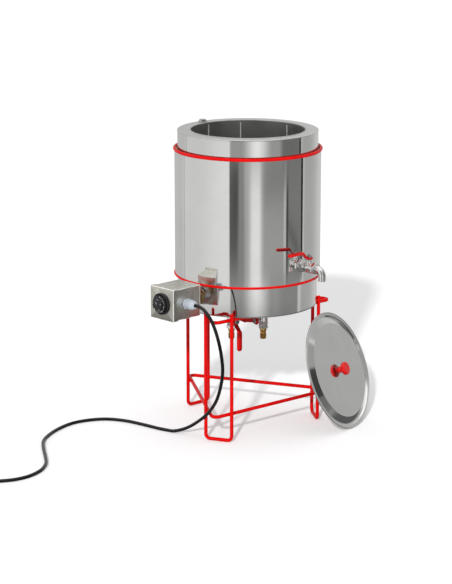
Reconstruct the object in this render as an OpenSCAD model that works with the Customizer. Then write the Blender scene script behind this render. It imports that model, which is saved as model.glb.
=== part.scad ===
// Water-jacketed candle wax melter on a rod stand, with its lid leaning on the stand.
// Millimetres, +Z up. The origin is on the floor under the centre of the tank.
// The front is towards -Y, between the control box and the pouring tap.

/* [Tank] */
// Inside diameter of the wax vessel
vessel_d = 320; // [300:1:326]
// Height of the rim above the floor
rim_z = 853; // [830:1:900]
// Height of the wax vessel's bottom above the floor
vessel_z = 478; // [462:1:482]
// Height of the jacket's flat bottom above the floor
tank_z = 356; // [335:1:365]
// Width of the water jacket, from the vessel's inside to the jacket's outside
jacket_gap = 38; // [34:0.5:38]
// Sheet thickness of the vessel, jacket and rim
sheet = 1.5; // [1:0.1:2]

/* [Cladding] */
// Distance of the sheath's outside from the jacket's outside
clad_gap = 8.5; // [7.5:0.5:12]
// Sheet thickness of the outer sheath
clad_sheet = 0.8; // [0.6:0.1:1.2]
// Height of the sheath's lower edge
clad_low_z = 442; // [430:1:450]
// Height of the sheath's upper edge
clad_high_z = 801; // [780:1:810]
// Thickness of the upper red edge trim
upper_trim_d = 9; // [7:0.5:10]
// Thickness of the lower red edge trim
lower_trim_d = 7; // [6:0.5:9]

/* [Tap and drains] */
// Height of the tap's axis
tap_z = 493; // [490:1:505]
// Direction of the tap, in degrees from +X
tap_azimuth = -44; // [-60:1:-40]
// Distance of the tap's valve from the sheath
tap_standoff = 4; // [4:0.5:30]
// Length of a full-size valve body
valve_len = 58; // [54:1:64]
// Width across the flats of a full-size valve body
valve_af = 31; // [31:0.5:36]
// Tap valve size as a share of a full-size one
tap_share = 0.9; // [0.83:0.01:1]
// Drain valve size as a share of a full-size one
drain_share = 0.83; // [0.8:0.01:1]
// Length of each lever from its stem to its tip
lever_len = 84; // [75:1:92]
// Width of each lever's grip
lever_w = 16; // [13:0.5:18]
// Half the distance between the two drains
drain_side = 45.5; // [42:0.5:52]
// Height of the drain valves' centres
drain_z = 300; // [290:1:306]

/* [Heater and control box] */
// Direction of the heater and the control box, in degrees from +X
heater_azimuth = -134.5; // [-138:0.5:-130]
// Sideways offset of the heater, which clears the wax drain pipe
heater_side = 18; // [14:0.5:22]
// Height of the heater's axis
heater_z = 410; // [405:1:415]
// Distance of the box's back from the jacket's outside
neck_len = 49.5; // [44:0.5:58]
// Width of the control box
box_w = 92; // [86:1:110]
// Depth of the control box
box_depth = 104; // [98:1:110]
// Height of the control box
box_h = 91; // [86:1:110]
// Diameter of the dial's bezel
bezel_d = 60; // [56:1:66]
// Diameter of the control knob
knob_d = 50; // [44:1:52]

/* [Stand] */
// Diameter of the stand's rods
rod_d = 10; // [8:0.5:10.5]
// Distance of each leg's plane from the jacket, seen from the stand's centre
leg_gap = 11.5; // [11.5:0.5:22]
// Half the distance between the two rods of a leg
leg_half = 38.5; // [35:0.5:42]
// Height of the rods' tops
leg_top = 374; // [366:1:385]
// Height of the lower triangle's centre line
brace_z = 80; // [60:1:110]
// Bend radius at a leg's lower corners
leg_bend = 13; // [11:1:18]

/* [Lid] */
// Overlap of the lid's edge over the vessel's inside
lid_overlap = 10.4; // [8:0.2:20]
// Backward lean of the lid, in degrees
lid_lean = 20.3; // [17:0.1:24]
// Direction that the lid faces, in degrees from +X
lid_azimuth = -28.6; // [-32:0.1:-25]
// Diameter of the lid's knob
lid_knob_d = 38; // [32:1:44]

/* [Cord] */
// Diameter of the supply cord
cord_d = 9.4; // [8:0.1:9.6]

/* [Hidden] */
$fn = 96;

// Clearances and overruns
seat_gap = 0.2;
run_gap = 0.08;
side_gap = 0.3;
over = 1;

// Tank
vessel_r = vessel_d / 2;
jacket_r = vessel_r + jacket_gap;
clad_r = jacket_r + clad_gap;
filler_azimuth = 136;
filler_boss_d = 26;
filler_boss_h = 3;
filler_thread_d = 16;
filler_hex_af = 18;
filler_hex_h = 5;
filler_thread_h = 9;
filler_r = (vessel_r + sheet + jacket_r) / 2;
insulation_drop = 6;
trim_slot_depth_share = 0.6;

// Valves, at full size
hex_len = 12;
barrel_d = 33;
socket_depth = 10;
nipple_d = 26.7;
port_d = 17;
ball_d = 25;
boss_d = 19;
boss_top = 21;
packing_af = 19;
packing_h = 5;
stem_d = 10;
neck_d = 8;
tang_w = 4;
tang_depth = 3;
tang_share = 0.85;
hub_z = 28;
nut_af = 13;
nut_h = 6;
stem_proud = 2;
collar_h = 3;
collar_af = 34;
tap_pipe_d = nipple_d * tap_share;
tap_stem_r = clad_r + tap_standoff + valve_len / 2 * tap_share;

// Levers
blade_t = 3;
blade_w_share = 0.8;
hub_d = 22;
lever_rise = 18;
crank_in = 11;
crank_out = 27;
grip_t = 8;
grip_in = 26;

// Spout and hose tail
spout_d = 21.5;
spout_bore = 16.5;
spout_bend = 18;
spout_drop = 13;
spout_collar_h = 4;
spout_collar_af = 27;
tail_d = 19;
tail_bore = 13;
tail_z = 245;

// Heater
boss_ring_d = 46;
boss_ring_len = 11;
heater_thread_d = 33;
heater_head_af = 42;
heater_head_len = 12;
heater_shank_in = 8;
neck_tube_d = 26;
neck_bore = 19;
neck_nut_af = 34;
neck_nut_h = 5;
neck_proud = 8;
element_d = 8.5;
element_half = 9;
element_in = 240;
pocket_d = 8;
pocket_rise = 9;
pocket_len = 110;
pocket_wall = 1;

// Control box
box_rise = 3.4;
box_sheet = 1.5;
flange_len = 17;
screw_d = 3.5;
screw_head_d = 6.4;
screw_head_h = 1.8;
screw_len = 7;
thermostat_w = 38;
thermostat_h = 42;
thermostat_depth = 28;
bush_d = 11;
spindle_d = 6;
bezel_h = 7;
bezel_wall = 3;
bezel_floor = 2;
knob_gap = 1;
skirt_h = 9;
grip_knob_share = 0.72;
grip_knob_h = 7;
terminal_len = 24;
terminal_w = 44;
terminal_h = 14;
terminal_back = 20;
gland_back = 55;
gland_thread_d = 20;
gland_thread_in = 9;
gland_hex_af = 27;
gland_hex_h = 6;
gland_outer_thread_d = 21;
gland_outer_thread_len = 12;
gland_nut_d = 28;
gland_nut_len = 17;
gland_tip_d = 18;
gland_tip_len = 12;
gland_locknut_h = 4;

// Stand
stand_offset = [-9.5, -1.5];
leg_front_azimuth = 250.5;
leg_left_azimuth = 130.5;
leg_right_azimuth = 10.5;
triangle_bend = 14;
bend_steps = 8;
rod_sides = 24;
rod_r = rod_d / 2;
leg_reach = jacket_r + leg_gap;
leg_bend_in = min(leg_bend, leg_half - rod_r);
triangle_vertex = 2 * (leg_half * cos(30) + leg_reach * sin(30) - rod_d - side_gap);
rest_z = tank_z - rod_r;

// Lid
lid_sheet = 1.2;
roll_r = 2;
lid_flange_w = 12;
trough_depth = 5;
trough_in_share = 0.88;
panel_share = 0.78;
panel_rise = 5;
lid_side_shift = 2;
lid_knob_h = 12;
lid_neck_d = 15;
lid_neck_h = 12;
lid_screw_d = 5;
lid_screw_head_d = 11;
lid_screw_head_h = 3;
lid_screw_in = 16;

// Cord: the free stretch's hand-chosen points, first in the air and then along the floor
cord_r = cord_d / 2;
cord_inside = 10;
cord_straight = 15;
hanging_points = [[-114, -315, 405], [-95, -330, 378], [-80, -337, 336], [-70, -332, 284],
    [-67, -315, 233], [-74, -286, 179], [-88, -249, 127], [-115, -204, 77], [-155, -161, 34],
    [-186, -139, 14]];
lying_points = [[-215, -122], [-250, -101], [-302, -61], [-352, -28], [-406, -12], [-458, -23],
    [-504, -54], [-539, -108], [-561, -167], [-570, -218], [-564, -282], [-552, -352],
    [-545, -402], [-546, -440], [-556, -480], [-580, -520], [-615, -547], [-655, -559],
    [-700, -562]];
coil_entry = [-735, -562];
cord_steps = 2;
cord_sides = 10;
coil_sides = 6;
loop_rings = 24;
coil_r = 60;
coil_gap = 1.4;
coil_in_turns = 1.5;
coil_climb_turns = 0.2;
coil_out_turns = 1.5;
coil_pitch = cord_d + coil_gap;
tie_t = 1;
tie_w = 8;
tie_azimuth = 270;
tail_len = 45;
tail_points = 4;
coil_low_z = cord_r + tie_t + seat_gap;
coil_high_z = coil_low_z + coil_pitch;
plug_d = 38;
plug_face_len = 26;
plug_taper_len = 12;
plug_grip_d = 24;
plug_relief_len = 24;
plug_relief_d = 13;
plug_recess_d = 32;
plug_recess_h = 6;
pin_d = 4.8;
pin_half = 9.5;
pin_len = 19;
pin_in = 8;

// A straight round bar from a to b
module bar(a, b, d) {
    v = b - a;
    translate(a)
        rotate([0, acos(v[2] / norm(v)), atan2(v[1], v[0])])
            cylinder(h = norm(v), d = d);
}

// A hexagonal prism of width af across the flats, from z = 0 up
module hexagon(af, h) {
    cylinder(h = h, d = af / cos(30), $fn = 6);
}

// Children laid along +X instead of +Z
module along_x() {
    rotate([0, 90, 0]) children();
}

// One leg: a rod bent to a U, standing in the YZ plane
module bent_leg(azimuth) {
    inner = leg_half - leg_bend_in;
    base = rod_r + leg_bend_in;
    translate([stand_offset[0], stand_offset[1], 0])
        rotate([0, 0, azimuth])
            translate([leg_reach, 0, 0])
                color("red") {
                    for (side = [-1, 1]) {
                        translate([0, side * leg_half, base])
                            cylinder(h = leg_top - rod_r - base, d = rod_d);
                        translate([0, side * leg_half, leg_top - rod_r])
                            sphere(d = rod_d);
                        translate([0, side * inner, base])
                            rotate([90, 0, 90])
                                rotate([0, 0, side > 0 ? -90 : 180])
                                    rotate_extrude(angle = 90)
                                        translate([leg_bend_in, 0])
                                            circle(d = rod_d);
                    }
                    bar([0, -inner, rod_r], [0, inner, rod_r], rod_d);
                }
}

// One ring of the stand: a rod bent to a triangle that passes between the rods of each leg
module bent_triangle(z) {
    centre_r = triangle_vertex - 2 * triangle_bend;
    path = [for (corner = [0:2], step = [0:bend_steps])
        let (turn = leg_right_azimuth + 120 * corner, bend = turn - 60 + 120 * step / bend_steps)
        [centre_r * cos(turn) + triangle_bend * cos(bend),
            centre_r * sin(turn) + triangle_bend * sin(bend), 0]];
    color("red")
        translate([stand_offset[0], stand_offset[1], z])
            closed_tube(path, rod_d, rod_sides);
}

// Places children on the tap's axis, with +X pointing out of the tank
module at_tap() {
    translate([0, 0, tap_z])
        rotate([0, 0, tap_azimuth])
            translate([tap_stem_r, 0, 0])
                children();
}

// Places children at a drain, with +X pointing down and +Z along the stem
module at_drain(x, stem_azimuth) {
    translate([x, 0, drain_z])
        rotate([0, 0, stem_azimuth])
            rotate([0, 90, 0])
                children();
}

// Places children on the heater's axis, with +X pointing out of the tank
module at_heater() {
    translate([0, 0, heater_z])
        rotate([0, 0, heater_azimuth])
            translate([0, heater_side, 0])
                children();
}

// Places children at the middle of the control box's back face
module at_box() {
    at_heater()
        translate([box_back, 0, box_rise])
            children();
}

// Places children at the gland's hole, with +Z pointing out of the box's side
module at_gland() {
    at_box()
        translate([gland_back, box_w / 2, 0])
            rotate([-90, 0, 0])
                children();
}

module jacket_shell() {
    height = rim_z - tank_z - 2 * sheet;
    color("lightgray")
        difference() {
            translate([0, 0, tank_z + sheet]) cylinder(h = height, r = jacket_r);
            translate([0, 0, tank_z + sheet - over])
                cylinder(h = height + 2 * over, r = jacket_r - sheet);
            translate([0, 0, tap_z])
                rotate([0, 0, tap_azimuth])
                    along_x() cylinder(h = clad_r, d = tap_pipe_d + 2 * seat_gap);
            at_heater()
                along_x() cylinder(h = clad_r, d = heater_thread_d + 2 * seat_gap);
        }
}

module jacket_base() {
    color("silver")
        difference() {
            translate([0, 0, tank_z]) cylinder(h = sheet, r = jacket_r);
            for (side = [-1, 1])
                translate([side * drain_side, 0, tank_z - over])
                    cylinder(h = sheet + 2 * over, d = nipple_d * drain_share + 2 * seat_gap);
        }
}

module wax_vessel() {
    color("gray")
        difference() {
            translate([0, 0, vessel_z]) cylinder(h = rim_z - vessel_z, r = vessel_r + sheet);
            translate([0, 0, vessel_z + sheet]) cylinder(h = rim_z - vessel_z, r = vessel_r);
            translate([0, 0, tap_z])
                rotate([0, 0, tap_azimuth])
                    along_x() cylinder(h = clad_r, d = tap_pipe_d + 2 * seat_gap);
            translate([-drain_side, 0, vessel_z - over])
                cylinder(h = sheet + 2 * over, d = nipple_d * drain_share + 2 * seat_gap);
        }
}

module top_rim() {
    color("lightgray")
        difference() {
            translate([0, 0, rim_z - sheet]) cylinder(h = sheet, r = jacket_r);
            translate([0, 0, rim_z - sheet - over])
                cylinder(h = sheet + 2 * over, r = vessel_r + sheet + seat_gap);
            rotate([0, 0, filler_azimuth])
                translate([filler_r, 0, rim_z - sheet - over])
                    cylinder(h = sheet + 2 * over, d = filler_thread_d + 2 * seat_gap);
        }
}

module cladding_sheath() {
    height = clad_high_z - clad_low_z;
    color("silver")
        difference() {
            translate([0, 0, clad_low_z]) cylinder(h = height, r = clad_r);
            translate([0, 0, clad_low_z - over])
                cylinder(h = height + 2 * over, r = clad_r - clad_sheet);
            translate([0, 0, tap_z])
                rotate([0, 0, tap_azimuth])
                    along_x() cylinder(h = clad_r + over, d = tap_pipe_d + 2 * seat_gap);
        }
}

module insulation() {
    low = clad_low_z + trim_slot_depth_share * lower_trim_d + seat_gap;
    height = clad_high_z - trim_slot_depth_share * upper_trim_d - insulation_drop - low;
    color("tan")
        difference() {
            translate([0, 0, low])
                cylinder(h = height, r = clad_r - clad_sheet - seat_gap);
            translate([0, 0, low - over])
                cylinder(h = height + 2 * over, r = jacket_r + seat_gap);
            translate([0, 0, tap_z])
                rotate([0, 0, tap_azimuth])
                    along_x() cylinder(h = clad_r, d = tap_pipe_d + 2 * seat_gap);
        }
}

// A rubber edge trim of round section; its slot holds the sheath's edge
module edge_trim(z, d, slot_up) {
    depth = d * trim_slot_depth_share;
    slot_z = slot_up ? d / 2 - depth : -d / 2 - over;
    color("red")
        translate([0, 0, z])
            rotate_extrude()
                difference() {
                    translate([clad_r - clad_sheet / 2, 0]) circle(d = d);
                    translate([clad_r - clad_sheet - seat_gap, slot_z])
                        square([clad_sheet + 2 * seat_gap, depth + over]);
                }
}

module upper_edge_trim() {
    edge_trim(clad_high_z - (trim_slot_depth_share - 0.5) * upper_trim_d + seat_gap,
        upper_trim_d, false);
}

module lower_edge_trim() {
    edge_trim(clad_low_z + (trim_slot_depth_share - 0.5) * lower_trim_d - seat_gap,
        lower_trim_d, true);
}

module filler_plug() {
    color("silver")
        rotate([0, 0, filler_azimuth])
            translate([filler_r, 0, rim_z]) {
                cylinder(h = filler_boss_h, d = filler_boss_d);
                translate([0, 0, filler_boss_h]) hexagon(filler_hex_af, filler_hex_h);
                translate([0, 0, -filler_thread_h])
                    cylinder(h = filler_thread_h, d = filler_thread_d);
            }
}

// Valve body around the origin: flow along X, stem along +Z, scaled by k
module valve_body(k) {
    length = valve_len * k;
    end_len = hex_len * k;
    depth = socket_depth * k;
    color("lightsteelblue")
        difference() {
            union() {
                for (end = [-1, 1])
                    translate([end > 0 ? length / 2 - end_len : -length / 2, 0, 0])
                        along_x() hexagon(valve_af * k, end_len);
                translate([end_len - length / 2, 0, 0])
                    along_x() cylinder(h = length - 2 * end_len, d = barrel_d * k);
                cylinder(h = boss_top * k, d = boss_d * k);
                translate([0, 0, boss_top * k]) hexagon(packing_af * k, packing_h * k);
            }
            translate([-length / 2, 0, 0]) along_x() cylinder(h = length, d = port_d * k);
            for (end = [-1, 1])
                translate([end > 0 ? length / 2 - depth : -length / 2 - over, 0, 0])
                    along_x() cylinder(h = depth + over, d = nipple_d * k + 2 * seat_gap);
            sphere(d = ball_d * k + 2 * run_gap);
            cylinder(h = hub_z * k, d = stem_d * k + 2 * run_gap);
        }
}

// Ball with its port along X and the stem's slot on top
module valve_ball(k, angle) {
    color("gainsboro")
        rotate([0, 0, angle])
            difference() {
                sphere(d = ball_d * k);
                translate([-ball_d * k, 0, 0])
                    along_x() cylinder(h = 2 * ball_d * k, d = port_d * k);
                translate([-ball_d * k, -tang_w * k / 2, (ball_d / 2 - tang_depth) * k])
                    cube([2 * ball_d * k, tang_w * k, ball_d * k]);
            }
}

// Stem from the ball's slot to the lever nut
module valve_stem(k, angle) {
    top = hub_z * k + blade_t + nut_h + stem_proud;
    tang = stem_d * k * tang_share;
    color("silver")
        rotate([0, 0, angle]) {
            translate([0, 0, ball_d * k / 2]) cylinder(h = (hub_z - ball_d / 2) * k, d = stem_d * k);
            cylinder_from(hub_z * k, top, neck_d);
            translate([-tang / 2, -tang_w * k / 2 + run_gap, (ball_d / 2 - tang_depth) * k + run_gap])
                cube([tang, tang_w * k - 2 * run_gap, tang_depth * k - run_gap]);
        }
}

// A cylinder between two heights
module cylinder_from(low, high, d) {
    translate([0, 0, low]) cylinder(h = high - low, d = d);
}

// Cranked steel lever with its thick dipped grip, pointing along +X
module lever() {
    blade_w = lever_w * blade_w_share;
    tip = lever_len - lever_w / 2;
    mid = lever_rise + blade_t / 2;
    difference() {
        union() {
            cylinder(h = blade_t, d = hub_d);
            rotate([90, 0, 0])
                linear_extrude(height = blade_w, center = true)
                    polygon([[0, 0], [crank_in, 0], [crank_out, lever_rise], [tip, lever_rise],
                        [tip, lever_rise + blade_t], [crank_out, lever_rise + blade_t],
                        [crank_in, blade_t], [0, blade_t]]);
            translate([0, 0, mid - grip_t / 2])
                linear_extrude(height = grip_t) {
                    translate([grip_in, -lever_w / 2]) square([tip - grip_in, lever_w]);
                    translate([tip, 0]) circle(d = lever_w);
                }
        }
        translate([0, 0, -over]) cylinder(h = blade_t + 2 * over, d = neck_d + 2 * seat_gap);
    }
}

module valve_lever(k, angle) {
    color("red")
        rotate([0, 0, angle])
            translate([0, 0, hub_z * k])
                lever();
}

module valve_nut(k) {
    color("silver")
        translate([0, 0, hub_z * k + blade_t])
            difference() {
                hexagon(nut_af, nut_h);
                translate([0, 0, -over])
                    cylinder(h = nut_h + 2 * over, d = neck_d + 2 * seat_gap);
            }
}

module tap_nipple() {
    inlet = tap_stem_r + (socket_depth - valve_len / 2) * tap_share;
    color("silver")
        difference() {
            translate([0, 0, tap_z])
                rotate([0, 0, tap_azimuth])
                    along_x() {
                        cylinder(h = inlet, d = tap_pipe_d);
                        translate([0, 0, clad_r + seat_gap]) hexagon(collar_af, collar_h);
                    }
            translate([0, 0, tap_z])
                rotate([0, 0, tap_azimuth])
                    along_x() cylinder(h = inlet + over, d = port_d * tap_share);
            translate([0, 0, vessel_z]) cylinder(h = rim_z - vessel_z, r = vessel_r);
        }
}

module tap_body() {
    at_tap() valve_body(tap_share);
}

module tap_ball() {
    at_tap() valve_ball(tap_share, -90);
}

module tap_stem() {
    at_tap() valve_stem(tap_share, -90);
}

module tap_lever() {
    at_tap() valve_lever(tap_share, -90);
}

module tap_nut() {
    at_tap() valve_nut(tap_share);
}

// Chromed elbow that turns the wax downwards
module tap_spout() {
    start = (valve_len / 2 - socket_depth) * tap_share + seat_gap;
    face = valve_len / 2 * tap_share + seat_gap;
    bend_x = face + spout_collar_h;
    color("whitesmoke")
        at_tap()
            difference() {
                union() {
                    translate([start, 0, 0])
                        along_x() cylinder(h = face - start, d = tap_pipe_d);
                    translate([face, 0, 0])
                        along_x() hexagon(spout_collar_af, spout_collar_h);
                    translate([bend_x, 0, -spout_bend])
                        rotate([90, 0, 0])
                            rotate_extrude(angle = 90)
                                translate([spout_bend, 0]) circle(d = spout_d);
                    translate([bend_x + spout_bend, 0, -spout_bend - spout_drop])
                        cylinder(h = spout_drop, d = spout_d);
                }
                translate([start - over, 0, 0])
                    along_x() cylinder(h = bend_x - start + over, d = spout_bore);
                translate([bend_x, 0, -spout_bend])
                    rotate([90, 0, 0])
                        rotate_extrude(angle = 90)
                            translate([spout_bend, 0]) circle(d = spout_bore);
                translate([bend_x + spout_bend, 0, -spout_bend - spout_drop - over])
                    cylinder(h = spout_drop + over, d = spout_bore);
            }
}

// Pipe from the tank down into a drain valve
module drain_nipple(x, top) {
    k = drain_share;
    bottom = drain_z + (valve_len / 2 - socket_depth) * k;
    color("silver")
        translate([x, 0, bottom])
            difference() {
                cylinder(h = top - bottom, d = nipple_d * k);
                translate([0, 0, -over]) cylinder(h = top - bottom + 2 * over, d = port_d * k);
            }
}

// Brass tail that a hose is pushed on
module drain_tail(x) {
    k = drain_share;
    shoulder = drain_z - valve_len / 2 * k - seat_gap;
    color("gold")
        difference() {
            union() {
                translate([x, 0, shoulder])
                    cylinder(h = (socket_depth - over) * k, d = nipple_d * k);
                translate([x, 0, tail_z]) cylinder(h = shoulder - tail_z, d = tail_d);
            }
            translate([x, 0, tail_z - over])
                cylinder(h = shoulder - tail_z + socket_depth * k + over, d = tail_bore);
        }
}

wax_stem_azimuth = -57;
water_stem_azimuth = -146;

module wax_drain_nipple() {
    drain_nipple(-drain_side, vessel_z + sheet);
}

module wax_drain_body() {
    at_drain(-drain_side, wax_stem_azimuth) valve_body(drain_share);
}

module wax_drain_ball() {
    at_drain(-drain_side, wax_stem_azimuth) valve_ball(drain_share, 0);
}

module wax_drain_stem() {
    at_drain(-drain_side, wax_stem_azimuth) valve_stem(drain_share, 0);
}

module wax_drain_lever() {
    at_drain(-drain_side, wax_stem_azimuth) valve_lever(drain_share, 0);
}

module wax_drain_nut() {
    at_drain(-drain_side, wax_stem_azimuth) valve_nut(drain_share);
}

module wax_drain_tail() {
    drain_tail(-drain_side);
}

module water_drain_nipple() {
    drain_nipple(drain_side, tank_z + sheet);
}

module water_drain_body() {
    at_drain(drain_side, water_stem_azimuth) valve_body(drain_share);
}

module water_drain_ball() {
    at_drain(drain_side, water_stem_azimuth) valve_ball(drain_share, -90);
}

module water_drain_stem() {
    at_drain(drain_side, water_stem_azimuth) valve_stem(drain_share, -90);
}

module water_drain_lever() {
    at_drain(drain_side, water_stem_azimuth) valve_lever(drain_share, -90);
}

module water_drain_nut() {
    at_drain(drain_side, water_stem_azimuth) valve_nut(drain_share);
}

module water_drain_tail() {
    drain_tail(drain_side);
}

// Where the heater's flat faces lie, measured from the tank's axis
boss_face = jacket_r + boss_ring_len;
head_face = boss_face + heater_head_len;
box_back = jacket_r + neck_len;

module heater_boss() {
    color("silver")
        difference() {
            at_heater()
                along_x() cylinder_from(jacket_r - boss_ring_len, boss_face, boss_ring_d);
            translate([0, 0, tank_z]) cylinder(h = clad_low_z - tank_z, r = jacket_r);
            at_heater()
                along_x() cylinder(h = boss_face + over, d = heater_thread_d + 2 * seat_gap);
        }
}

module heater_head() {
    shank = jacket_r - heater_shank_in;
    color("goldenrod")
        at_heater()
            along_x()
                difference() {
                    union() {
                        cylinder_from(shank, boss_face, heater_thread_d);
                        translate([0, 0, boss_face]) hexagon(heater_head_af, heater_head_len);
                        cylinder_from(head_face, box_back + box_sheet + neck_proud, neck_tube_d);
                    }
                    cylinder_from(boss_face, box_back + box_depth, neck_bore);
                }
}

module heating_element() {
    start = jacket_r - heater_shank_in;
    end = start - element_in;
    color("dimgray")
        at_heater() {
            for (side = [-1, 1])
                translate([end, side * element_half, 0])
                    along_x() cylinder(h = element_in, d = element_d);
            translate([end, 0, 0])
                rotate([0, 0, 90])
                    rotate_extrude(angle = 180)
                        translate([element_half, 0]) circle(d = element_d);
        }
}

module sensor_pocket() {
    start = jacket_r - heater_shank_in;
    color("silver")
        at_heater()
            translate([start - pocket_len, 0, pocket_rise])
                along_x()
                    difference() {
                        cylinder(h = pocket_len, d = pocket_d);
                        translate([0, 0, pocket_wall])
                            cylinder(h = pocket_len, d = pocket_d - 2 * pocket_wall);
                    }
}

// The control box's folded shell, open towards its front cover
shell_w = box_w - 2 * (box_sheet + seat_gap);
shell_h = box_h - 2 * (box_sheet + seat_gap);
shell_depth = box_depth - box_sheet - seat_gap;

// The places of the cover's screws along the box and across it
screw_x = box_depth - flange_len / 2;
screw_y_share = 0.3;

// Places children at each cover screw, with +Z out of the flange
module at_screws() {
    for (side = [-1, 1]) {
        translate([screw_x, side * screw_y_share * box_w, -box_h / 2])
            rotate([180, 0, 0]) children();
        translate([screw_x, -box_w / 2, side * screw_y_share * box_h])
            rotate([90, 0, 0]) children();
    }
}

module box_shell() {
    color("darkgray")
        difference() {
            at_box()
                difference() {
                    translate([0, -shell_w / 2, -shell_h / 2])
                        cube([shell_depth, shell_w, shell_h]);
                    translate([box_sheet, box_sheet - shell_w / 2, box_sheet - shell_h / 2])
                        cube([box_depth, shell_w - 2 * box_sheet, shell_h - 2 * box_sheet]);
                    translate([-over, 0, -box_rise])
                        along_x() cylinder(h = box_sheet + 2 * over, d = neck_tube_d + 2 * seat_gap);
                    at_screws()
                        translate([0, 0, -screw_len - over])
                            cylinder(h = screw_len, d = screw_d + 2 * seat_gap);
                }
            at_gland()
                translate([0, 0, -gland_thread_in - over])
                    cylinder(h = gland_thread_in + 2 * over, d = gland_thread_d + 2 * seat_gap);
        }
}

module box_cover() {
    inner_w = box_w - 2 * box_sheet;
    inner_h = box_h - 2 * box_sheet;
    color("darkgray")
        at_box()
            difference() {
                translate([box_depth - flange_len, -box_w / 2, -box_h / 2])
                    cube([flange_len, box_w, box_h]);
                translate([box_depth - flange_len - over, -inner_w / 2, -inner_h / 2])
                    cube([flange_len + over - box_sheet, inner_w, inner_h]);
                translate([box_depth - box_sheet - over, 0, 0])
                    along_x() cylinder(h = box_sheet + 2 * over, d = bush_d + 2 * seat_gap);
                at_screws()
                    translate([0, 0, -box_sheet - over])
                        cylinder(h = box_sheet + 2 * over, d = screw_d + 2 * seat_gap);
            }
}

module cover_screws() {
    color("silver")
        at_box()
            at_screws() {
                translate([0, 0, -screw_len]) cylinder(h = screw_len, d = screw_d);
                cylinder(h = screw_head_h, d = screw_head_d);
            }
}

module thermostat() {
    back = box_depth - box_sheet - thermostat_depth;
    color("white")
        at_box()
            difference() {
                union() {
                    translate([back, -thermostat_w / 2, -thermostat_h / 2])
                        cube([thermostat_depth, thermostat_w, thermostat_h]);
                    along_x() cylinder_from(back, box_depth + bezel_floor, bush_d);
                }
                along_x()
                    cylinder_from(back + thermostat_depth / 2, box_depth + bezel_h,
                        spindle_d + 2 * run_gap);
            }
}

module dial_bezel() {
    color("black")
        at_box()
            translate([box_depth, 0, 0])
                along_x()
                    difference() {
                        cylinder(h = bezel_h, d = bezel_d);
                        translate([0, 0, bezel_floor])
                            cylinder(h = bezel_h, d = bezel_d - 2 * bezel_wall);
                        translate([0, 0, -over])
                            cylinder(h = bezel_floor + 2 * over, d = bush_d + 2 * seat_gap);
                    }
}

module control_knob() {
    back = box_depth - box_sheet - thermostat_depth / 2 + knob_gap;
    skirt = box_depth + bezel_floor + knob_gap;
    color("black")
        at_box()
            along_x() {
                cylinder_from(back, skirt, spindle_d);
                cylinder_from(skirt, skirt + skirt_h, knob_d);
                cylinder_from(skirt + skirt_h, skirt + skirt_h + grip_knob_h,
                    knob_d * grip_knob_share);
            }
}

module terminal_block() {
    floor_z = box_sheet - shell_h / 2;
    color("ivory")
        at_box()
            translate([terminal_back, -terminal_w / 2, floor_z])
                cube([terminal_len, terminal_w, terminal_h]);
}

module neck_locknut() {
    color("silver")
        at_heater()
            along_x()
                translate([0, 0, box_back + box_sheet])
                    difference() {
                        hexagon(neck_nut_af, neck_nut_h);
                        translate([0, 0, -over])
                            cylinder(h = neck_nut_h + 2 * over, d = neck_tube_d + 2 * seat_gap);
                    }
}

// Distance from the cover's side plane in to the shell's side wall
side_step = box_sheet + seat_gap;

module gland_body() {
    bore = cord_d + 2 * side_gap;
    color("lightgray")
        at_gland()
            difference() {
                union() {
                    cylinder_from(-side_step - gland_thread_in, -side_step, gland_thread_d);
                    translate([0, 0, -side_step]) hexagon(gland_hex_af, gland_hex_h + side_step);
                    cylinder_from(gland_hex_h, gland_hex_h + gland_outer_thread_len,
                        gland_outer_thread_d);
                }
                cylinder_from(-side_step - gland_thread_in - over,
                    gland_hex_h + gland_outer_thread_len + over, bore);
            }
}

module gland_nut() {
    bore = cord_d + 2 * side_gap;
    thread_end = gland_hex_h + gland_outer_thread_len + side_gap;
    color("whitesmoke")
        at_gland()
            difference() {
                union() {
                    cylinder_from(gland_hex_h + seat_gap, gland_hex_h + gland_nut_len, gland_nut_d);
                    translate([0, 0, gland_hex_h + gland_nut_len])
                        cylinder(h = gland_tip_len, d1 = gland_nut_d, d2 = gland_tip_d);
                }
                cylinder_from(gland_hex_h, thread_end, gland_outer_thread_d + 2 * seat_gap);
                cylinder_from(0, gland_hex_h + gland_nut_len + gland_tip_len + over, bore);
            }
}

module gland_locknut() {
    color("lightgray")
        at_gland()
            translate([0, 0, -side_step - box_sheet - gland_locknut_h])
                difference() {
                    hexagon(gland_hex_af, gland_locknut_h);
                    translate([0, 0, -over])
                        cylinder(h = gland_locknut_h + 2 * over, d = gland_thread_d + 2 * seat_gap);
                }
}

// The lid stands on the floor and leans on the right leg's nearer rod
right_rod = [stand_offset[0] + leg_reach * cos(leg_right_azimuth) + leg_half * sin(leg_right_azimuth),
    stand_offset[1] + leg_reach * sin(leg_right_azimuth) - leg_half * cos(leg_right_azimuth)];
roll_at = vessel_r + lid_overlap - roll_r;
lid_away = (roll_r + side_gap + rod_r * cos(lid_lean)) / cos(lid_lean) + roll_at * sin(lid_lean);
lid_centre = [
    right_rod[0] + lid_away * cos(lid_azimuth) - lid_side_shift * sin(lid_azimuth),
    right_rod[1] + lid_away * sin(lid_azimuth) + lid_side_shift * cos(lid_azimuth),
    roll_at * cos(lid_lean) + roll_r];

// Places children on the lid's centre, with +Z out of its face
module at_lid() {
    translate(lid_centre)
        rotate([0, 90 - lid_lean, lid_azimuth])
            children();
}

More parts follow.
